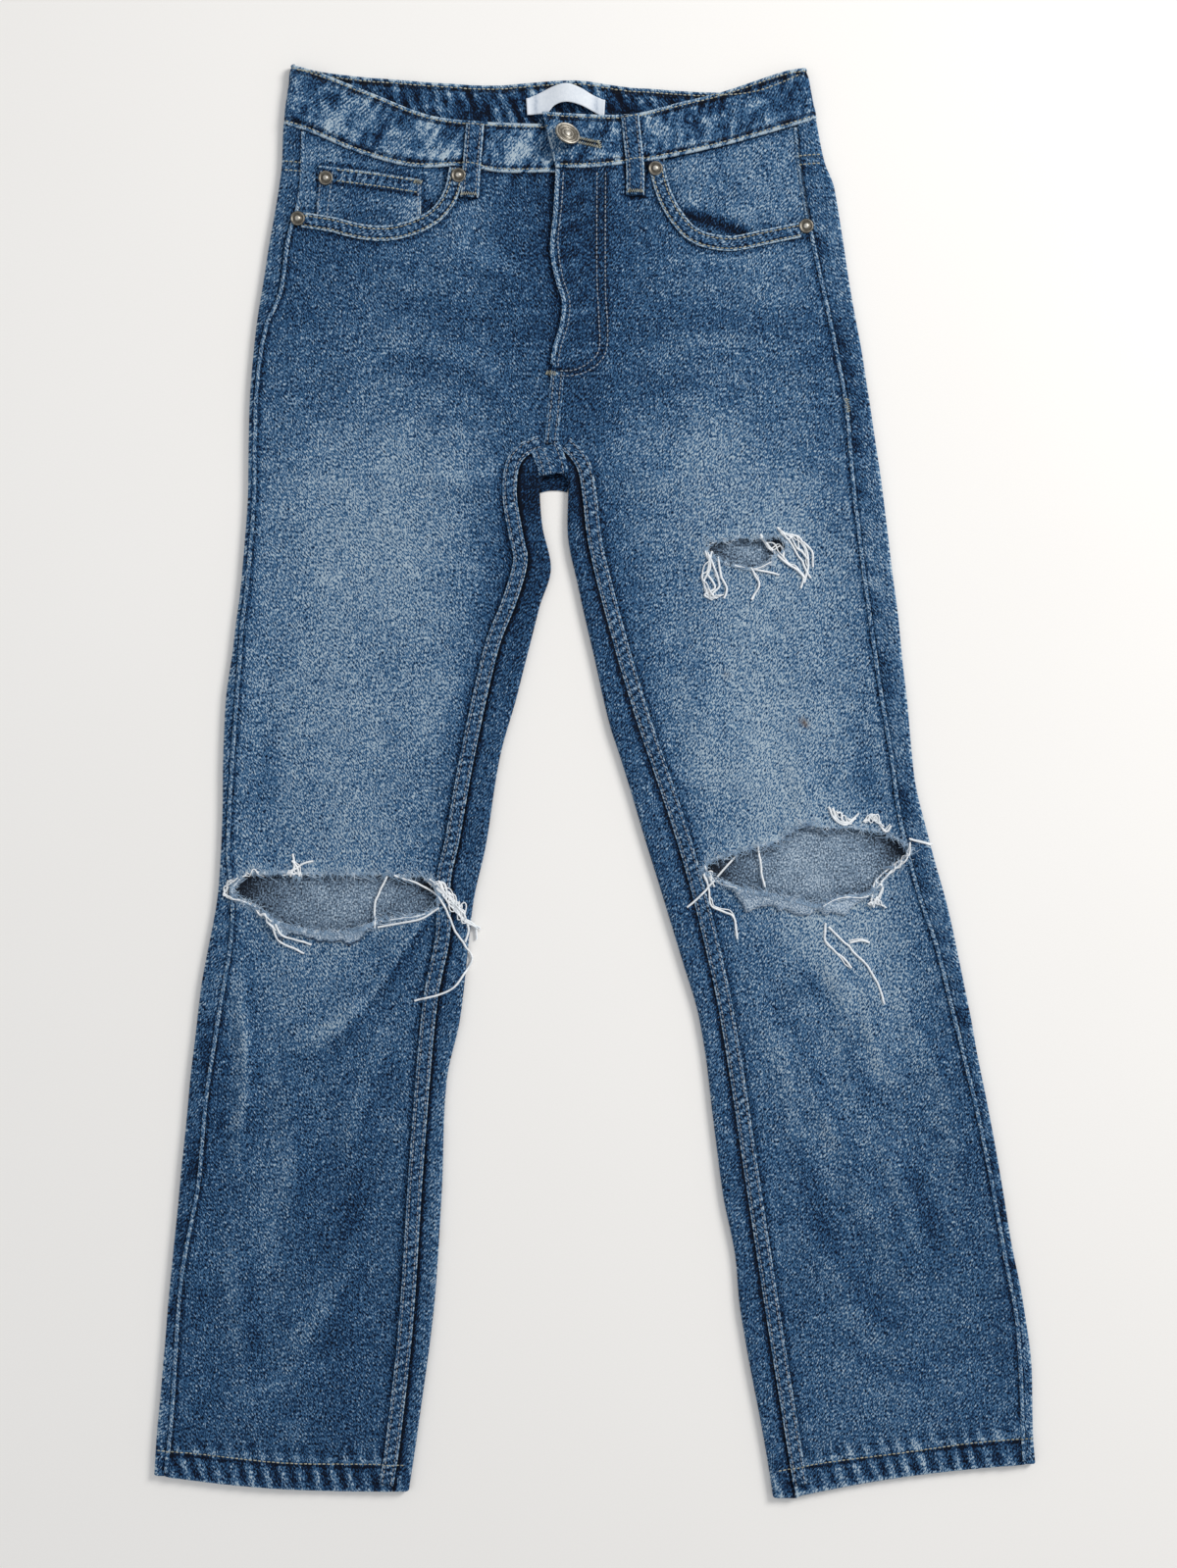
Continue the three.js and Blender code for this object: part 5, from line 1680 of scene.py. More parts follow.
def resample(line, step):
    """A smooth run of points this far apart along a drawn line."""
    line = np.array(line, dtype=float)
    lengths = np.concatenate([[0], np.cumsum(np.hypot(*np.diff(line, axis=0).T))])
    along = np.linspace(0, lengths[-1], max(2, int(round(lengths[-1] / step)) + 1))
    x_at = through(list(zip(lengths, line[:, 0])))
    y_at = through(list(zip(lengths, line[:, 1])))
    return np.stack([x_at(along), y_at(along)], axis=1), along


def sideways(points):
    way = np.gradient(points, axis=0)
    way /= np.linalg.norm(way, axis=1)[:, None]
    return np.stack([-way[:, 1], way[:, 0]], axis=1)


def smoothed(values, reach):
    kernel = np.hanning(2 * reach + 3)[1:-1]
    padded = np.concatenate([[values[0]] * reach, values, [values[-1]] * reach])
    return np.convolve(padded, kernel / kernel.sum(), mode="valid")


flat_line, _ = resample([(0, 0), (10, 0)], 2.0)
print("a 10 mm line gets", len(flat_line), "points")


# %% A rounded strip along a line
def lay_strip(name, trees, line, width, thickness, tone, rope=(0.2, 8.0), step=2.0, columns=9, smooth=3,
              material=None, clearance=0.05, edge_tone=0.22, seed=60, tone_rope=0.16, hold=None, grooves=()):
    """A rounded strip of cloth along a line, on top of what is there or, with hold, at its height."""
    points, along = resample(line, step)
    side = sideways(points)
    base = np.array([
        max(height_on(trees, *(points[k] + side[k] * e * width / 2)) for e in (-0.9, 0.0, 0.9))
        for k in range(len(points))
    ])
    base = smoothed(base, smooth) if hold is None else hold(points[:, 0], points[:, 1])
    angles = [math.pi * k / 3 for k in range(1, 3)]
    across = np.linspace(-1, 1, columns)
    section = [(a, 1.0) for a in across] + [(1.0 + 0.1 * math.sin(a), math.cos(a)) for a in angles]
    section += [(-a, -1.0) for a in across] + [(-1.0 - 0.1 * math.sin(a), -math.cos(a)) for a in angles]
    section = np.array(section + section[:1])
    pull, pitch = rope

    def lay(i, j, openings):
        share, face = section[i].T
        middle = points[j]
        place = middle + side[j] * (share * width / 2)[:, None]
        ropes = slanted_pull(along[j], share * width / 2, pitch, 0.5, seed)
        crown = (1 - np.clip(np.abs(share), 0, 1) ** 6)
        top = base[j] + clearance + thickness * (0.55 + 0.45 * crown) + pull * ropes * crown
        z = np.where(face > 0.3, top, np.where(face < -0.3, base[j] + clearance, (top + base[j]) / 2))
        pale = tone + tone_rope * ropes + 0.08 * patchy(along[j], share * width, 6, seed)
        pale += edge_tone * bell((1 - np.abs(share)) * width / 2, 0.9)
        # Each groove sinks the strip along a stitch row and is painted darker as shade
        for groove in grooves:
            near = bell(share * width / 2 - groove, 0.9) * (face > 0.3)
            pale -= 0.36 * near
            z -= 0.3 * near
        return place[:, 0], place[:, 1], z, pale, (-share * width / 2, -along[j])

    piece = cloth_grid(
        name, len(section) - 1, len(points) - 1, lay, wall=None, materials=[material or denim_face],
    )
    finish_closed(piece)
    return piece


cloth_trees = tree_of(every(fronts, backs, yokes, facings) + [coin_pocket])
print("heights are read from", len(cloth_trees), "pieces")

# %% [markdown]
# ## Felled inseams, outseams, pocket edges and fly
#
# The inseam is felled: both edges are folded into each other and stitched down twice, which leaves a
# raised ribbon 10 mm wide with small puckers. The outseam is a plain seam whose pressed edge shows as
# a thin worn cord. A pocket mouth is a faced edge with two rows of stitching.

# %% Seam ribbons
def line_of(curve, low, high, step=14, shift=0.0):
    ys = np.arange(high, low, -step)
    ys = np.append(ys, low)
    return [(float(curve(y)) + shift, float(y)) for y in ys]


def inseam_points(half):
    """The inseam from the crotch, where it turns sharply, down to the hem."""
    rows = [253.6, 252, 249, 244, 238, 230, 220] + list(np.arange(208, half.hem_inner + 4, -12))
    return [(float(half.inseam(y)), float(y)) for y in rows]


def beside(line, gap, step=5.0):
    """The same line moved sideways: to its left when the gap is positive."""
    points, _ = resample(line, step)
    return [tuple(p) for p in points + sideways(points) * gap]


ribbons = []
for half in HALVES:
    inseam_line = inseam_points(half)
    ribbons.append(lay_strip(
        "inseam_fell_" + half.word, cloth_trees, beside(inseam_line, half.sign * 5.2, 6.0),
        10.0, 1.1, 0.42, rope=(0.3, 6.5), seed=62 + half.sign, columns=21, edge_tone=0.34,
        tone_rope=0.34, grooves=(-3.3, 3.3),
    ))
    ribbons.append(lay_strip(
        "outseam_cord_" + half.word, cloth_trees,
        line_of(half.outseam, half.hem_outer + 3, side_waist_y[half] - 2, 12, half.inwards * 1.1),
        2.6, 0.9, 0.62, rope=(0.1, 9.0), seed=66 + half.sign, columns=5, edge_tone=0.0, tone_rope=0.12,
    ))
    ribbons.append(lay_strip(
        "pocket_edge_" + half.word, tree_of([fronts[half]]),
        beside(MOUTH_LINES[half], half.inwards * 5.2, 6),
        10.6, 0.75, 0.43, rope=(0.3, 5.6), seed=70 + half.sign, columns=21, edge_tone=0.55,
        tone_rope=0.32, grooves=(-3.4, 3.4), step=1.5,
    ))
print(len(ribbons), "seam ribbons")

# %% Fly edge and crotch seam
FLY_EDGE = [(centre_front(y) + 0.9, y) for y in (466, 450, 432, 404, 381, 366, 348, 330, 318)]
ribbons.append(lay_strip(
    "fly_edge", tree_of([fronts[left]]), FLY_EDGE, 3.0, 1.0, 0.66, rope=(0.1, 8.0), seed=74,
    columns=5, edge_tone=0.0, tone_rope=0.14,
))
CENTRE_SEAM = [(CENTRE_X + 4.4, 312), (CENTRE_X + 2.6, 292), (CENTRE_X + 0.6, 272), (CENTRE_X - 0.8, 258)]
ribbons.append(lay_strip(
    "crotch_seam", tree_of(every(fronts)), CENTRE_SEAM, 9.5, 0.8, 0.42, rope=(0.16, 7.0), seed=75,
    columns=19, edge_tone=0.22, grooves=(-2.8, 2.8), tone_rope=0.2,
))
CROTCH_LOBE = [(-38, 255), (-35, 248), (-32.5, 241), (-31.5, 234.5)]
ribbons.append(lay_strip(
    "crotch_lobe", tree_of(every(backs)), CROTCH_LOBE, 21, 1.0, 0.44, rope=(0.2, 7.0), seed=77,
    columns=21, edge_tone=0.26, grooves=(-7.5, 7.5), tone_rope=0.2, clearance=0.6,
))
# A near-black strip held just above the floor under the crotch: it stands for the shadow at the top of the
# gap between the legs
ribbons.append(lay_strip(
    "crotch_shadow_strip", [], [(-44, 229), (-38, 230.5), (-31, 231), (-24, 230.5), (-19, 229)], 15, 1.0, 0.06,
    seed=76, hold=lambda x, y: 0 * x + 0.4, edge_tone=0.1, tone_rope=0.05,
))
print("fly edge and crotch seam are laid")

# %% [markdown]
# ## Belt loops and label
#
# A belt loop is a folded strip with two rows of stitching, tacked at the top of the band and just
# below it. The label is a white tape sewn to the inside of the back band; it bows up, and it is blank.

# %% Belt loops
band_trees = cloth_trees + tree_of([waistband] + ribbons)
front_loops = {}
for half in HALVES:
    front_loops[half] = lay_strip(
        "belt_loop_" + half.word + "_front", band_trees, LOOP_LINES[half], LOOP_WIDTH, 1.9, 0.4,
        rope=(0.1, 8.0), seed=80 + half.sign, columns=25, material=denim_band, clearance=0.5,
        edge_tone=0.52, smooth=4, grooves=(-4.3, 4.3),
    )
    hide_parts("belt_loop_front_" + half.word)
for word, centre in BACK_LOOPS.items():
    top = float(back_band_top(centre)) - 1
    lay_strip(
        "belt_loop_" + word + "_back", [],
        [(centre, LOOP_FOOT_Y), (centre, (LOOP_FOOT_Y + top) / 2), (centre, top)],
        LOOP_WIDTH, 1.4, 0.46, rope=(0.08, 8.0), seed=84, columns=13, material=denim_band,
        hold=lambda x, y: 0 * x + 0.05,
    )
    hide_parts("belt_loop_back_" + word)

# %% Label
LABEL_COLUMNS, LABEL_ROWS = 48, 12
label_top = through([
    (-51.5, 520.5), (-42, 524.5), (-33, 528.4), (-22, 530.8), (-11, 528), (-2, 523.5), (7, 520),
])
label_low = through([
    (-51.5, 508), (-44, 508.6), (-36, 509.5), (-31, 514.6), (-23, 517), (-12, 515.4), (-3, 511.6),
    (7, 506.5),
])


def lay_label(i, j, openings):
    t, up = i / LABEL_COLUMNS, j / LABEL_ROWS
    x = lerp(-51.5, 7, t) + 1.6 * up * (t - 0.5)
    y = lerp(label_low(x), label_top(x), up)
    bow = 5.2 * bell(x + 22, 15)
    end = np.minimum(t, 1 - t) * 58
    z = BAND_THICKNESS + back_lift(x, y) + 2.0 + bow * (0.75 + 0.25 * up) + 0.7 * bell(end, 1.6)
    return x, y, z, 0 * x + 0.9, (x, y)


label = cloth_grid("blank_label", LABEL_COLUMNS, LABEL_ROWS, lay_label, wall=0.7, flip=False,
                   materials=[label_tape, label_tape, label_tape])
label_x = np.array([v.co.x for v in label.data.vertices]) / MM
# Painted shade at the label's folded ends; the rest of the tape is made a little lighter
label_shade = bell(label_x + 45, 2.2) + bell(label_x - 1, 2.5)
write_field(label.data, "painted_shade", 0.4 * label_shade - 0.12)
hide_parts("label")
print("the label tape is blank")

# %% [markdown]
# ## Button and rivets
#
# The button is a cast tack button with a raised rim, rings and a small dome, in old brass gone grey.
# It sits a little tilted, because the buttonhole pulls on one side of its shank. The rivets are
# burred caps with a bright centre. Each is a profile spun round its axis.

# %% Old brass
BRASS = [
    (0.0, srgb(56, 52, 47)), (0.4, srgb(112, 107, 98)), (0.75, srgb(160, 155, 144)),
    (1.0, srgb(216, 211, 201)),
]


def antique_metal(name):
    material, nodes, shader = new_material(name)
    where = nodes.add("ShaderNodeTexCoord").outputs["Object"]
    patina = nodes.noise(where, 420, 4.0, 0.65)
    fine_wear = nodes.noise(where, 1600, 2.0)
    polish = nodes.field("polish")
    worn_tone = nodes.math("MULTIPLY_ADD", polish, 0.65, nodes.math("MULTIPLY_ADD", patina, 0.8, -0.15))
    colour = nodes.ramp(worn_tone, BRASS)
    nodes.finish(shader, colour, nodes.math("MULTIPLY_ADD", patina, 0.3, 0.28), fine_wear, 0.25, 0.0002)
    shader.inputs["Metallic"].default_value = 0.85
    return material


old_brass = antique_metal("old_brass")


print("old brass has", len(old_brass.node_tree.nodes), "nodes")


# %% Button and rivets
def spun(name, profile, place, steps=40, tilt=(0.0, 0.0), low=0.0, high=1.0):
    """A turned part from a profile of (radius, height), polished where it stands high."""
    bm = bmesh.new()
    corners = [bm.verts.new((radius * MM, 0, height * MM)) for radius, height in profile]
    edges = [bm.edges.new(pair) for pair in zip(corners, corners[1:])]
    bmesh.ops.spin(bm, geom=corners + edges, cent=(0, 0, 0), axis=(0, 0, 1), angle=2 * math.pi,
                   steps=steps, use_merge=True)
    bmesh.ops.remove_doubles(bm, verts=bm.verts[:], dist=0.00001)
    bmesh.ops.recalc_face_normals(bm, faces=bm.faces[:])
    bm.verts.index_update()
    heights = np.array([vert.co.z for vert in bm.verts]) / MM
    for axis, angle in (((1, 0, 0), tilt[0]), ((0, 1, 0), tilt[1])):
        turn = Matrix.Rotation(math.radians(angle), 3, axis)
        bmesh.ops.rotate(bm, verts=bm.verts[:], cent=(0, 0, 0), matrix=turn)
    bmesh.ops.translate(bm, verts=bm.verts[:], vec=Vector(place) * MM)
    piece = to_mesh_object(name, bm, [old_brass])
    write_field(piece.data, "polish", ease((heights - low) / (high - low)))
    piece.data.shade_smooth()
    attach(piece, "root")
    return piece


BUTTON_PROFILE = [
    (0, -4), (1.3, -4), (1.3, 3.4), (8.6, 3.5), (9.7, 3.9), (10, 4.6), (9.8, 5.4), (9.2, 5.8), (8.6, 5.7),
    (8.1, 5.0), (7.7, 4.7), (7.3, 5.0), (6.9, 5.3), (6.5, 5.0), (6.1, 4.7), (5.3, 4.7), (4.9, 5.1),
    (4.4, 5.6), (3.9, 5.6), (3.5, 5.1), (3.2, 4.9), (2.8, 5.1), (2.4, 5.6), (1.6, 5.95), (0.8, 6.1),
    (0, 6.15),
]
BUTTON_AT = (-22.6, 488.9, BAND_FRONT_Z + LAP_RISE + BAND_HALF + 2.4)
button = spun("tack_button", BUTTON_PROFILE, BUTTON_AT, steps=56, tilt=(-24, 26), low=4.2, high=6.2)
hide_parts("button")
RIVET_PROFILE = [
    (0, 0), (5.4, 0), (5.6, 0.5), (5.4, 1.0), (4.9, 1.35), (4.4, 1.2), (3.9, 0.8), (3.4, 0.7), (2.9, 0.7),
    (2.5, 0.9), (2.1, 1.5), (1.5, 2.0), (0.8, 2.2), (0, 2.25),
]
metal_trees = cloth_trees + tree_of(ribbons)
RIVETS = {
    "rivet_right_inner": (-103.8, 461.4), "rivet_right_outer": (-226, 428.6), "rivet_coin": (-205, 459.8),
    "rivet_left_inner": (46.1, 467), "rivet_left_outer": (160.9, 423.4),
}
for name, (x, y) in RIVETS.items():
    around = [(x + 4 * math.cos(a), y + 4 * math.sin(a)) for a in np.radians([0, 90, 180, 270])]
    z = max(height_on(metal_trees, *spot) for spot in around)
    z = min(z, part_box(name)[1].z / MM - 0.4)
    piece = spun(name + "_cap", RIVET_PROFILE, (x, y, z - 0.2), steps=28, low=0.8, high=1.9)
    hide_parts(name)
print("1 button and", len(RIVETS), "rivets")

# %% [markdown]
# ## Stitching
#
# Topstitching is a row of short thick stitches: tan on the waistband, hems and pocket mouths, and dull
# blue-grey on the fly, the loops and the felled seams. Each row is one curve whose thickness swells at
# every stitch and goes under the cloth between them; the finished curve is turned into a mesh.

# %% Threads as meshes
def curve_mesh(name, runs, radius, material, sides=1):
    """A mesh of thin round threads. Each run is a list of (x, y, z, thickness) points."""
    data = bpy.data.curves.new(name, "CURVE")
    data.dimensions = "3D"
    data.bevel_depth = radius * MM
    data.bevel_resolution = sides
    data.use_fill_caps = True
    for run in runs:
        spline = data.splines.new("POLY")
        spline.points.add(len(run) - 1)
        for point, (x, y, z, thickness) in zip(spline.points, run):
            point.co = (x * MM, y * MM, z * MM, 1)
            point.radius = thickness
    shape = bpy.data.objects.new(name + "_path", data)
    bpy.context.collection.objects.link(shape)
    evaluated = shape.evaluated_get(bpy.context.evaluated_depsgraph_get())
    mesh = bpy.data.meshes.new_from_object(evaluated)
    mesh.name = name
    bpy.data.objects.remove(shape)
    mesh.materials.clear()
    mesh.materials.append(material)
    mesh.shade_smooth()
    piece = bpy.data.objects.new(name, mesh)
    bpy.context.collection.objects.link(piece)
    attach(piece, "root")
    return piece


print("a curve becomes a thin round thread")


# %% Thread materials and a row of stitches
def thread_material(name, dark, middle, light):
    material, nodes, shader = new_material(name)
    where = nodes.add("ShaderNodeTexCoord").outputs["Object"]
    mix = nodes.noise(where, 260, 3.0, 0.6)
    ply = nodes.noise(where, 2600, 1.0)
    tone_here = nodes.math("ADD", nodes.math("MULTIPLY_ADD", mix, 1.6, -0.4),
                           nodes.math("MULTIPLY_ADD", ply, 0.4, -0.1))
    colour = nodes.ramp(tone_here, [(0, dark), (0.5, middle), (1, light)])
    nodes.finish(shader, colour, nodes.math("MULTIPLY_ADD", ply, 0.2, 0.6), ply, 0.4, 0.0002)
    shader.inputs["Sheen Weight"].default_value = 0.2
    return material


tan_thread = thread_material("tan_thread", srgb(90, 92, 80), srgb(156, 155, 136), srgb(214, 211, 192))
grey_thread = thread_material("grey_thread", srgb(78, 94, 112), srgb(134, 146, 158), srgb(200, 206, 212))
loose_thread = thread_material("loose_thread", srgb(200, 208, 216), srgb(234, 238, 241), srgb(252, 252, 252))
fringe_thread = thread_material("fringe_thread", srgb(56, 88, 124), srgb(132, 160, 186), srgb(232, 238, 243))

stitch_trees = tree_of(
    every(fronts, backs, yokes, facings) + [coin_pocket, waistband, label] + ribbons + every(front_loops)
)
print("stitches are laid on", len(stitch_trees), "pieces")


def stitch_run(line, pitch=3.5, below=False, sink=0.12, trees=None, size=1.0):
    """A row of stitches on the cloth along a line."""
    points, _ = resample(line, pitch / 4)
    run = []
    for k, (x, y) in enumerate(points):
        phase = k % 4
        thickness = size * (0.15, 0.95, 1.1, 0.95)[phase]
        depth = (0.8, sink, 0.0, sink)[phase]
        z = height_on(trees or stitch_trees, x, y, from_below=below)
        run.append((x, y, max(0.25, z + (depth if below else -depth)), thickness))
    return run


# %% Tan rows
tan_runs, grey_runs = [], []


def row_along(curve, shift, start, end, count=26):
    """A row of stitches this far above a line of the pattern, from start to end."""
    return stitch_run([(x, float(curve(x)) + shift) for x in np.linspace(start, end, count)])


tan_runs += [
    row_along(front_band_top[right], -1.9, -231, -36),
    row_along(front_band_top[left], -1.9, -37, 160),
    row_along(front_band_bottom[right], 2.0, -236, -34),
    row_along(front_band_bottom[left], 2.0, -27, 166),
    row_along(back_band_top, -2.2, -226, 156, 40),
]
for half in HALVES:
    outer, inner = float(half.outer(half.hem_outer)), float(half.inner(half.hem_inner))
    hem = []
    for t in np.linspace(0.012, 0.988, 30):
        x = lerp(outer, inner, t)
        bow = half.hem_bow * math.sin(math.pi * t) * 0.8
        hem.append((x, lerp(half.hem_outer, half.hem_inner, t) + HEM_WIDTH + bow + 0.6 * math.sin(9 * t)))
    tan_runs.append(stitch_run(hem, size=0.95))
print(len(tan_runs), "tan rows on the band and hems")

# %% Pocket, fly and loop rows
grey_runs += [stitch_run(FLY_INNER_ROW), stitch_run(FLY_OUTER_ROW)]
grey_runs.append(stitch_run([(centre_front(y) + 5.2, y) for y in (464, 440, 410, 385, 366, 348, 330, 316)]))
for half in HALVES:
    way = 1 if half is right else -1
    tan_runs.append(stitch_run(beside(MOUTH_LINES[half], way * 1.9)))
    tan_runs.append(stitch_run(beside(MOUTH_LINES[half], way * 9.2)))
    for gap in (1.9, 8.6):
        grey_runs.append(stitch_run(beside(inseam_points(half), half.sign * gap, 6.0), pitch=3.5))
for gap in (-7.5, -2.0, 7.5):
    grey_runs.append(stitch_run(beside(CROTCH_LOBE, gap, 3.0)))
for gap in (2.0, 7.6):
    grey_runs.append(stitch_run([(x - 4.8 + gap, y) for x, y in CENTRE_SEAM]))
for gap in (1.5, 10.0):
    tan_runs.append(row_along(coin_top, -gap, -197, -135, 10))
for x_start, x_end in ((-208.5, -211), (-199.5, -203.5), (-134.6, -134.6)):
    grey_runs.append(stitch_run([(x_start, float(coin_top(x_start)) - 3), (x_end, 436), (x_end - 0.5, 428)]))
for half, line in LOOP_LINES.items():
    (top_x, top_y), (foot_x, foot_y) = line[0], line[-1]
    inner_line = [(top_x, top_y - 1.5)] + line[1:-1] + [(foot_x, foot_y + 2)]
    for gap in (-4.3, 4.3):
        grey_runs.append(stitch_run(beside(inner_line, gap)))
for half in HALVES:
    start_x, end_x = float(half.outer(480.0)) - half.sign * 1.5, float(half.outseam(480.0))
    for y in (half.yoke_side_y + 2.2, half.yoke_side_y - 4.5):
        tan_runs.append(stitch_run([(start_x, y), ((start_x + end_x) / 2, y - 0.5), (end_x, y - 1.2)]))
print(len(grey_runs), "grey rows")

# %% Rows underneath
under_trees = tree_of(every(backs, back_pockets, yokes) + [waistband])
for half in HALVES:
    x = half.pocket_x
    for inset in (2.0, 8.0):
        side_x = POCKET_TOP_HALF - inset
        foot_x = POCKET_FOOT_HALF - inset
        pocket_row = [
            (x - side_x, POCKET_TOP - 2), (x - foot_x, POCKET_FOOT + POCKET_POINT + inset * 0.6),
            (x, POCKET_FOOT + inset), (x + foot_x, POCKET_FOOT + POCKET_POINT + inset * 0.6),
            (x + side_x, POCKET_TOP - 2),
        ]
        for start, end in zip(pocket_row, pocket_row[1:]):
            tan_runs.append(stitch_run([start, end], below=True, trees=under_trees))
    yoke_row = [(float(lerp(half.outer(470.0) - half.sign * 6, CENTRE_X - half.inwards * 2, t)),
                 float(yoke_seam_y(half, t)) + 2.4) for t in np.linspace(0, 1, 8)]
    tan_runs.append(stitch_run(yoke_row, below=True, trees=under_trees))

# %% Bar tacks
def bar_tack(start, end, width, count):
    """A tight zigzag of thread that locks a seam."""
    run = []
    for k in range(count + 1):
        t = k / count
        x, y = lerp(start[0], end[0], t), lerp(start[1], end[1], t)
        way = Vector((end[0] - start[0], end[1] - start[1])).normalized()
        out = width / 2 * (1 if k % 2 else -1)
        px, py = x - way.y * out, y + way.x * out
        run.append((px, py, height_on(stitch_trees, px, py) + 0.15, 1.2))
    return run


tan_tacks = [
    bar_tack((-37, 312), (-30, 311), 3.0, 10),
    bar_tack((-102, 447.6), (-90, 447.2), 2.2, 14),
    bar_tack((25, 449.4), (36.5, 449.4), 2.2, 14),
    bar_tack((-137.5, 457.5), (-132, 456.5), 3.4, 9),
    bar_tack((191.6, 292), (193, 282), 2.6, 12),
]
for side_gap in (-1.7, 1.7):
    hole_side = beside(BUTTONHOLE, side_gap, 2.0)
    tan_tacks.append(bar_tack(hole_side[0], hole_side[-1], 1.8, 18))
tan_tacks.append(bar_tack((2.6, 487.4), (4.2, 481.8), 2.0, 8))
tan_stitches = curve_mesh("tan_stitching", tan_runs + tan_tacks, 0.5, tan_thread)
grey_stitches = curve_mesh("grey_stitching", grey_runs, 0.45, grey_thread)
for piece in (tan_stitches, grey_stitches):
    print(piece.name, sum(len(p.vertices) - 2 for p in piece.data.polygons), "triangles")

# %% [markdown]
# ## Torn places
#
# Where the cloth tore, the blue warp broke and the white weft was left hanging. The lower lips of the
# knees have turned out and show the paler wrong side. Long threads hang in loops and curls on the
# cloth, and short ones fringe every edge.

# %% Turned lips
def torn_lip(name, half, line, width, seed, edge_shade):
    """A strip of the wrong side, folded out over the front below a tear."""
    points, along = resample(line, 2.0)
    side = sideways(points)
    down = -np.sign(side[:, 1:2]) * side
    count = 7
    raggedness = 0.75 + 0.45 * patchy(along, 0 * along, 13, seed) + 0.2 * patchy(along, 0 * along, 4, seed)
    taper = taper_along(along, along[-1], 5, 5)

    def lay(i, j, openings):
        t = i / count
        reach = width * raggedness[j] * taper[j] + 0.3
        out = reach * t
        place = points[j] + down[j] * (out - 1.2)[:, None]
        under, _ = front_surface(half, place[:, 0], place[:, 1])
        roll = np.sin(np.pi * np.clip(t, 0, 1)) * 1.6
        z = under + 1.3 + roll * taper[j] + 0.3 * patchy(along[j], 20 * t, 7, seed + 3)
        return place[:, 0], place[:, 1], z, t, (out, along[j])

    lip = cloth_grid(name, count, len(points) - 1, lay, wall=0.7, materials=[turned_lip] * 3)
    bm = bmesh.new()
    bm.from_mesh(lip.data)
    bm.faces.ensure_lookup_table()
    if sum(face.normal.z for face in bm.faces) < 0:
        bmesh.ops.reverse_faces(bm, faces=bm.faces[:])
    bm.to_mesh(lip.data)
    bm.free()
    t = np.array([item.value for item in lip.data.attributes["paleness"].data])
    # Painted shade along the lip's outer edge, or with a negative edge_shade a lighter edge, and a slightly
    # lighter middle
    write_field(lip.data, "painted_shade", edge_shade * ease((t - 0.8) * 6) - 0.12 * bell(t - 0.55, 0.3))
    return lip


RIGHT_LIP = [
    (-256, -95.5), (-245, -104.5), (-236, -108.5), (-216, -113), (-204, -114.5), (-190, -113.5),
    (-171, -108), (-158, -104),
]
LEFT_LIP = [
    (92, -73.5), (108, -80), (132, -85), (148, -88), (159, -91), (168, -93.5), (176, -92.5),
    (190, -87), (206, -86), (213, -81),
]
lips = [
    torn_lip("knee_lip_right", right, RIGHT_LIP, 13.0, 91, 0.8),
    torn_lip("knee_lip_left", left, LEFT_LIP, 16.0, 93, -0.1),
]
print(len(lips), "turned lips")

# %% How a loose thread lies
thread_trees = stitch_trees + tree_of(lips)
rng = np.random.default_rng(11)


def thread_run(points, lift=0.8, thickness=1.0, waver=0.6):
    """A loose thread lying along these points."""
    spots, along = resample(points, 1.6)
    seed = int(rng.integers(1000))
    run = []
    for k, (x, y) in enumerate(spots):
        sway = waver * float(patchy(along[k], seed, 5.0, 2))
        z = height_on(thread_trees, x + sway, y + sway, default=1.2) + 0.3
        if any(inside(x + sway, y + sway, tear) for tears in TEARS.values() for tear in tears):
            z = max(z, 3.6)
        z += lift * abs(float(patchy(along[k], seed, 9.0, 4)))
        run.append((x + sway, y + 0.5 * sway, z, thickness))
    heights = smoothed(np.array([p[2] for p in run]), 2)
    return [(x, y, max(float(h), z - 0.2), w) for (x, y, z, w), h in zip(run, heights)]


print("threads lie on", len(thread_trees), "pieces")

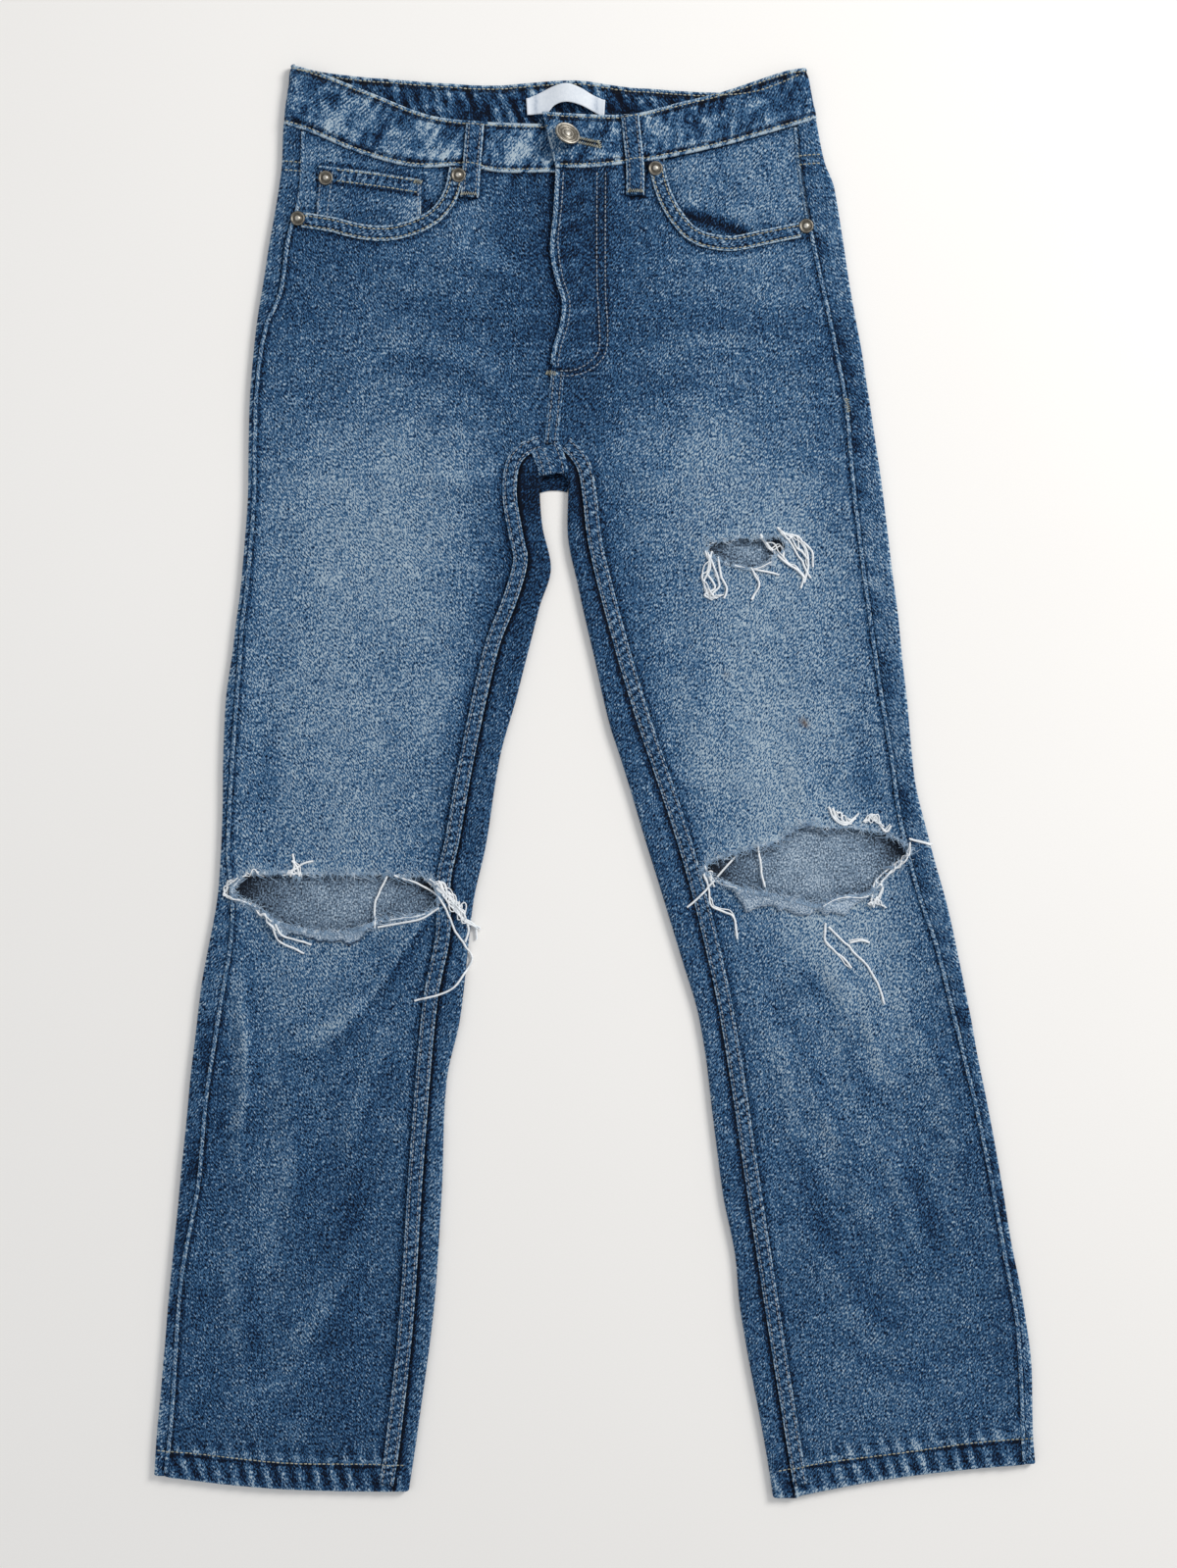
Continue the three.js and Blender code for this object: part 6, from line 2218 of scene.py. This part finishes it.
# %% Long threads
LONG_THREADS = [
    # right knee
    [(-158, -71), (-167.6, -92), (-167.6, -111)],
    [(-152.6, -71), (-123.4, -83.6), (-113.6, -95), (-110, -106), (-104, -117), (-94, -134), (-98.6, -145),
     (-110.6, -158.6), (-137.6, -167)],
    [(-119.6, -75.4), (-108, -92), (-98.6, -106), (-87.4, -111.4)],
    [(-121, -77), (-112, -88), (-102, -98), (-96, -112), (-99, -122)],
    [(-130, -73), (-118, -84), (-107, -90), (-103, -101), (-93, -108), (-90, -120)],
    [(-232, -72), (-229, -63), (-230, -54.5)],
    [(-236, -71), (-228, -66), (-222, -62), (-215, -60.5)],
    [(-225, -72), (-227, -65), (-231, -60)],
    [(-243, -108), (-238, -117), (-226, -121), (-216, -124)],
    [(-246, -109), (-241, -121), (-229, -127), (-222, -131)],
    [(-166, -111), (-151, -108), (-132, -104), (-119, -96)],
    # left knee
    [(108.4, -55), (98, -67), (86, -80.6), (79, -88), (70, -95.6)],
    [(83, -70), (86.6, -82), (89, -94), (104.6, -102.4), (108.4, -119.6)],
    [(125, -48.6), (126.4, -66.4), (130, -80)],
    [(239.6, -43), (247, -45.6), (256, -47.8)],
    [(239.6, -55), (215.6, -74), (210.4, -90.4)],
    [(214, -75), (219, -80), (216, -88), (211, -93)],
    [(176, -107.6), (176.6, -122.6), (189.4, -134.6), (195.4, -142)],
    [(178, -110.6), (194.6, -126.4), (212, -146.6), (221, -169)],
    [(194.6, -122.6), (203, -121), (209.6, -122.6)],
    [(178, -19), (182, -27), (190, -33), (197, -28), (201, -24)],
    [(206, -31), (213, -25), (217, -32), (222, -38), (226, -33)],
    [(181, -20), (186, -30), (196, -31)],
    # left thigh
    [(119, 163), (125, 151), (119, 139)],
    [(119, 163), (131, 160), (140.6, 158)],
    [(125.6, 188), (142, 170), (158.6, 157.6), (157, 148)],
    [(139, 194), (152, 178), (164.6, 155.6)],
    [(143, 190), (156, 186), (163, 170), (160, 152)],
    [(158.6, 183), (166, 176), (166, 164)],
    [(84, 176), (88, 164), (83, 152), (88, 141), (96, 142)],
    [(86, 174), (92, 162), (95, 150), (89, 143)],
    [(89, 176), (86, 160), (91, 148), (84, 143), (90, 139)],
    [(94, 172), (96, 158), (101, 148), (98, 140)],
]


def tangle(path, count, spread, turns):
    """A knotted bundle: threads that coil loosely round the same path."""
    spots, along = resample(path, 1.2)
    side = sideways(spots)
    runs = []
    for _ in range(count):
        phase, pace = rng.uniform(0, 6.3), turns * rng.uniform(0.7, 1.3)
        angle = phase + 2 * math.pi * pace * along / along[-1]
        swell = np.sin(math.pi * np.clip(along / along[-1] * 1.1, 0, 1))
        reach = spread * (0.35 + 0.65 * rng.uniform()) * swell
        curl = spots + side * (reach * np.sin(angle))[:, None]
        curl[:, 1] += 0.7 * reach * np.cos(1.7 * angle)
        runs.append(thread_run([tuple(p) for p in curl], lift=2.2, thickness=0.62, waver=0.5))
    return runs


print(len(LONG_THREADS), "threads are drawn")

# %% Tangles
TANGLES = [
    ([(-126, -74), (-114, -84), (-106, -96), (-98, -106), (-90, -112)], 6, 5.5, 2.2),
    ([(-112, -84), (-104, -94), (-98, -104)], 3, 6.0, 1.5),
    ([(-238, -71), (-230, -69), (-222, -71)], 3, 2.0, 2.0),
    ([(-272, -73), (-281, -80), (-280, -87), (-270, -90)], 4, 2.6, 2.5),
    ([(-268, -72), (-260, -69), (-252, -72)], 3, 2.0, 2.0),
    ([(-258, -97), (-249, -106), (-243, -113)], 3, 2.5, 2.0),
    ([(84, -64), (88, -72), (91, -80)], 3, 2.2, 2.0),
    ([(208, -93), (216, -92), (222, -96)], 4, 3.5, 2.0),
    ([(184, -22), (192, -30), (199, -28)], 3, 3.0, 2.0),
    ([(205, -30), (213, -28), (220, -34)], 4, 3.5, 2.0),
    ([(240, -46), (238, -56), (228, -66), (218, -76)], 4, 1.8, 3.0),
    ([(126, 186), (138, 178), (150, 166), (160, 156)], 3, 3.5, 2.0),
    ([(140, 192), (152, 184), (162, 170)], 3, 3.5, 1.6),
    ([(86, 178), (85, 162), (84, 152), (90, 142)], 2, 3.0, 1.5),
    ([(84, 148), (90, 141), (98, 143)], 3, 3.0, 1.5),
]
print(len(TANGLES), "tangles")

# %% Laying the long threads
long_runs = []
for line in LONG_THREADS:
    long_runs.append(thread_run(line))
    if rng.uniform() < 0.4:
        nudge = rng.uniform(-1.4, 1.4, 2)
        beside_it = [(x + nudge[0], y + nudge[1]) for x, y in line]
        long_runs.append(thread_run(beside_it, thickness=0.55, waver=1.5))
for path, count, spread, turns in TANGLES:
    long_runs += tangle(path, count, spread, turns)
print(len(long_runs), "long threads")


# %% Fringe
def fringe_runs(outline, per_mm, seed, longest):
    """Short threads that stick out of a torn edge, about half of them into the opening."""
    local = np.random.default_rng(seed)
    points, along = resample(outline + outline[:1], 1.0)
    side = sideways(points)
    runs = []
    for _ in range(int(along[-1] * per_mm)):
        k = int(local.integers(len(points)))
        way = side[k] * local.choice([-1, 1])
        lean = local.uniform(-1.6, 1.6)
        length = longest * local.uniform(0.1, 1.0) ** 2.2 + 1.4
        start = points[k] - way * 1.6
        z = height_on(thread_trees, *start, default=3.5) + 0.3
        run = []
        for t in (0, 0.33, 0.66, 1.0):
            place = start + way * (length * t) + np.array([way[1], -way[0]]) * (lean * t * t * length)
            under = height_on(thread_trees, *place, default=z)
            height = max(under + 0.25, z - 1.2 * t + 0.9 * math.sin(3 * t))
            run.append((place[0], place[1], height, 1 - 0.45 * t))
        runs.append(run)
    return runs


def rim_run(outline, first, last, push, thickness):
    """A pulled weft thread that still lies along a torn edge."""
    centre = np.mean(outline, axis=0)
    part = [outline[k % len(outline)] for k in range(first, last)]
    line = []
    for x, y in part:
        out = Vector((x - centre[0], (y - centre[1]) * 2.5)).normalized() * push
        line.append((x + out.x, y + out.y))
    return thread_run(line, lift=1.0, thickness=thickness, waver=0.9)


RIM_THREADS = [  # which leg, which tear, and the stretch of its outline that kept a pulled thread
    (right, 0, -3, 2), (right, 0, 29, 34), (right, 0, 17, 22), (left, 0, 20, 27), (left, 0, 32, 35),
    (left, 1, 0, 3), (left, 1, 13, 17),
]
short_runs = []
for half in HALVES:
    for k, tear in enumerate(TEARS[half]):
        short_runs += fringe_runs(tear, 3.2, 120 + k + half.sign, 6.0 if k == 0 else 4.5)
for half, k, first, last in RIM_THREADS:
    long_runs.append(rim_run(TEARS[half][k], first, last, 0.4, 0.6))
    for push, thickness in ((1.4, 0.9), (-0.8, 0.8)):
        short_runs.append(rim_run(TEARS[half][k], first, last, push, thickness))
loose_threads = curve_mesh("loose_threads", long_runs, 0.82, loose_thread, sides=1)
fringe = curve_mesh("torn_fringe", short_runs, 0.4, fringe_thread, sides=0)
for piece in (loose_threads, fringe):
    print(piece.name, sum(len(p.vertices) - 2 for p in piece.data.polygons), "triangles")

# %% [markdown]
# ## The surface underneath
#
# The garment lies on a large sheet of off-white paper, which is only a stage and not part of it.

# %% Floor
floor_bm = bmesh.new()
bmesh.ops.create_grid(floor_bm, x_segments=2, y_segments=2, size=2.5)
floor_material, floor_nodes, floor_shader = new_material("pale_paper")
paper_at = floor_nodes.add("ShaderNodeTexCoord").outputs["Object"]
paper_grain = floor_nodes.noise(paper_at, 900, 2.0)
paper_cloud = floor_nodes.noise(paper_at, 2.2, 2.0)
paper_tone = floor_nodes.math("ADD", floor_nodes.math("MULTIPLY", paper_grain, 0.5),
                              floor_nodes.math("MULTIPLY", paper_cloud, 0.5))
paper_colour = floor_nodes.ramp(paper_tone, [(0, srgb(242, 239, 235)), (1, srgb(251, 249, 246))])
floor_nodes.tree.links.new(paper_colour, floor_shader.inputs["Base Color"])
floor_shader.inputs["Roughness"].default_value = 0.9
floor_shader.inputs["Specular IOR Level"].default_value = 0.15
floor = to_mesh_object("paper_floor", floor_bm, [floor_material])
print("the floor is laid")
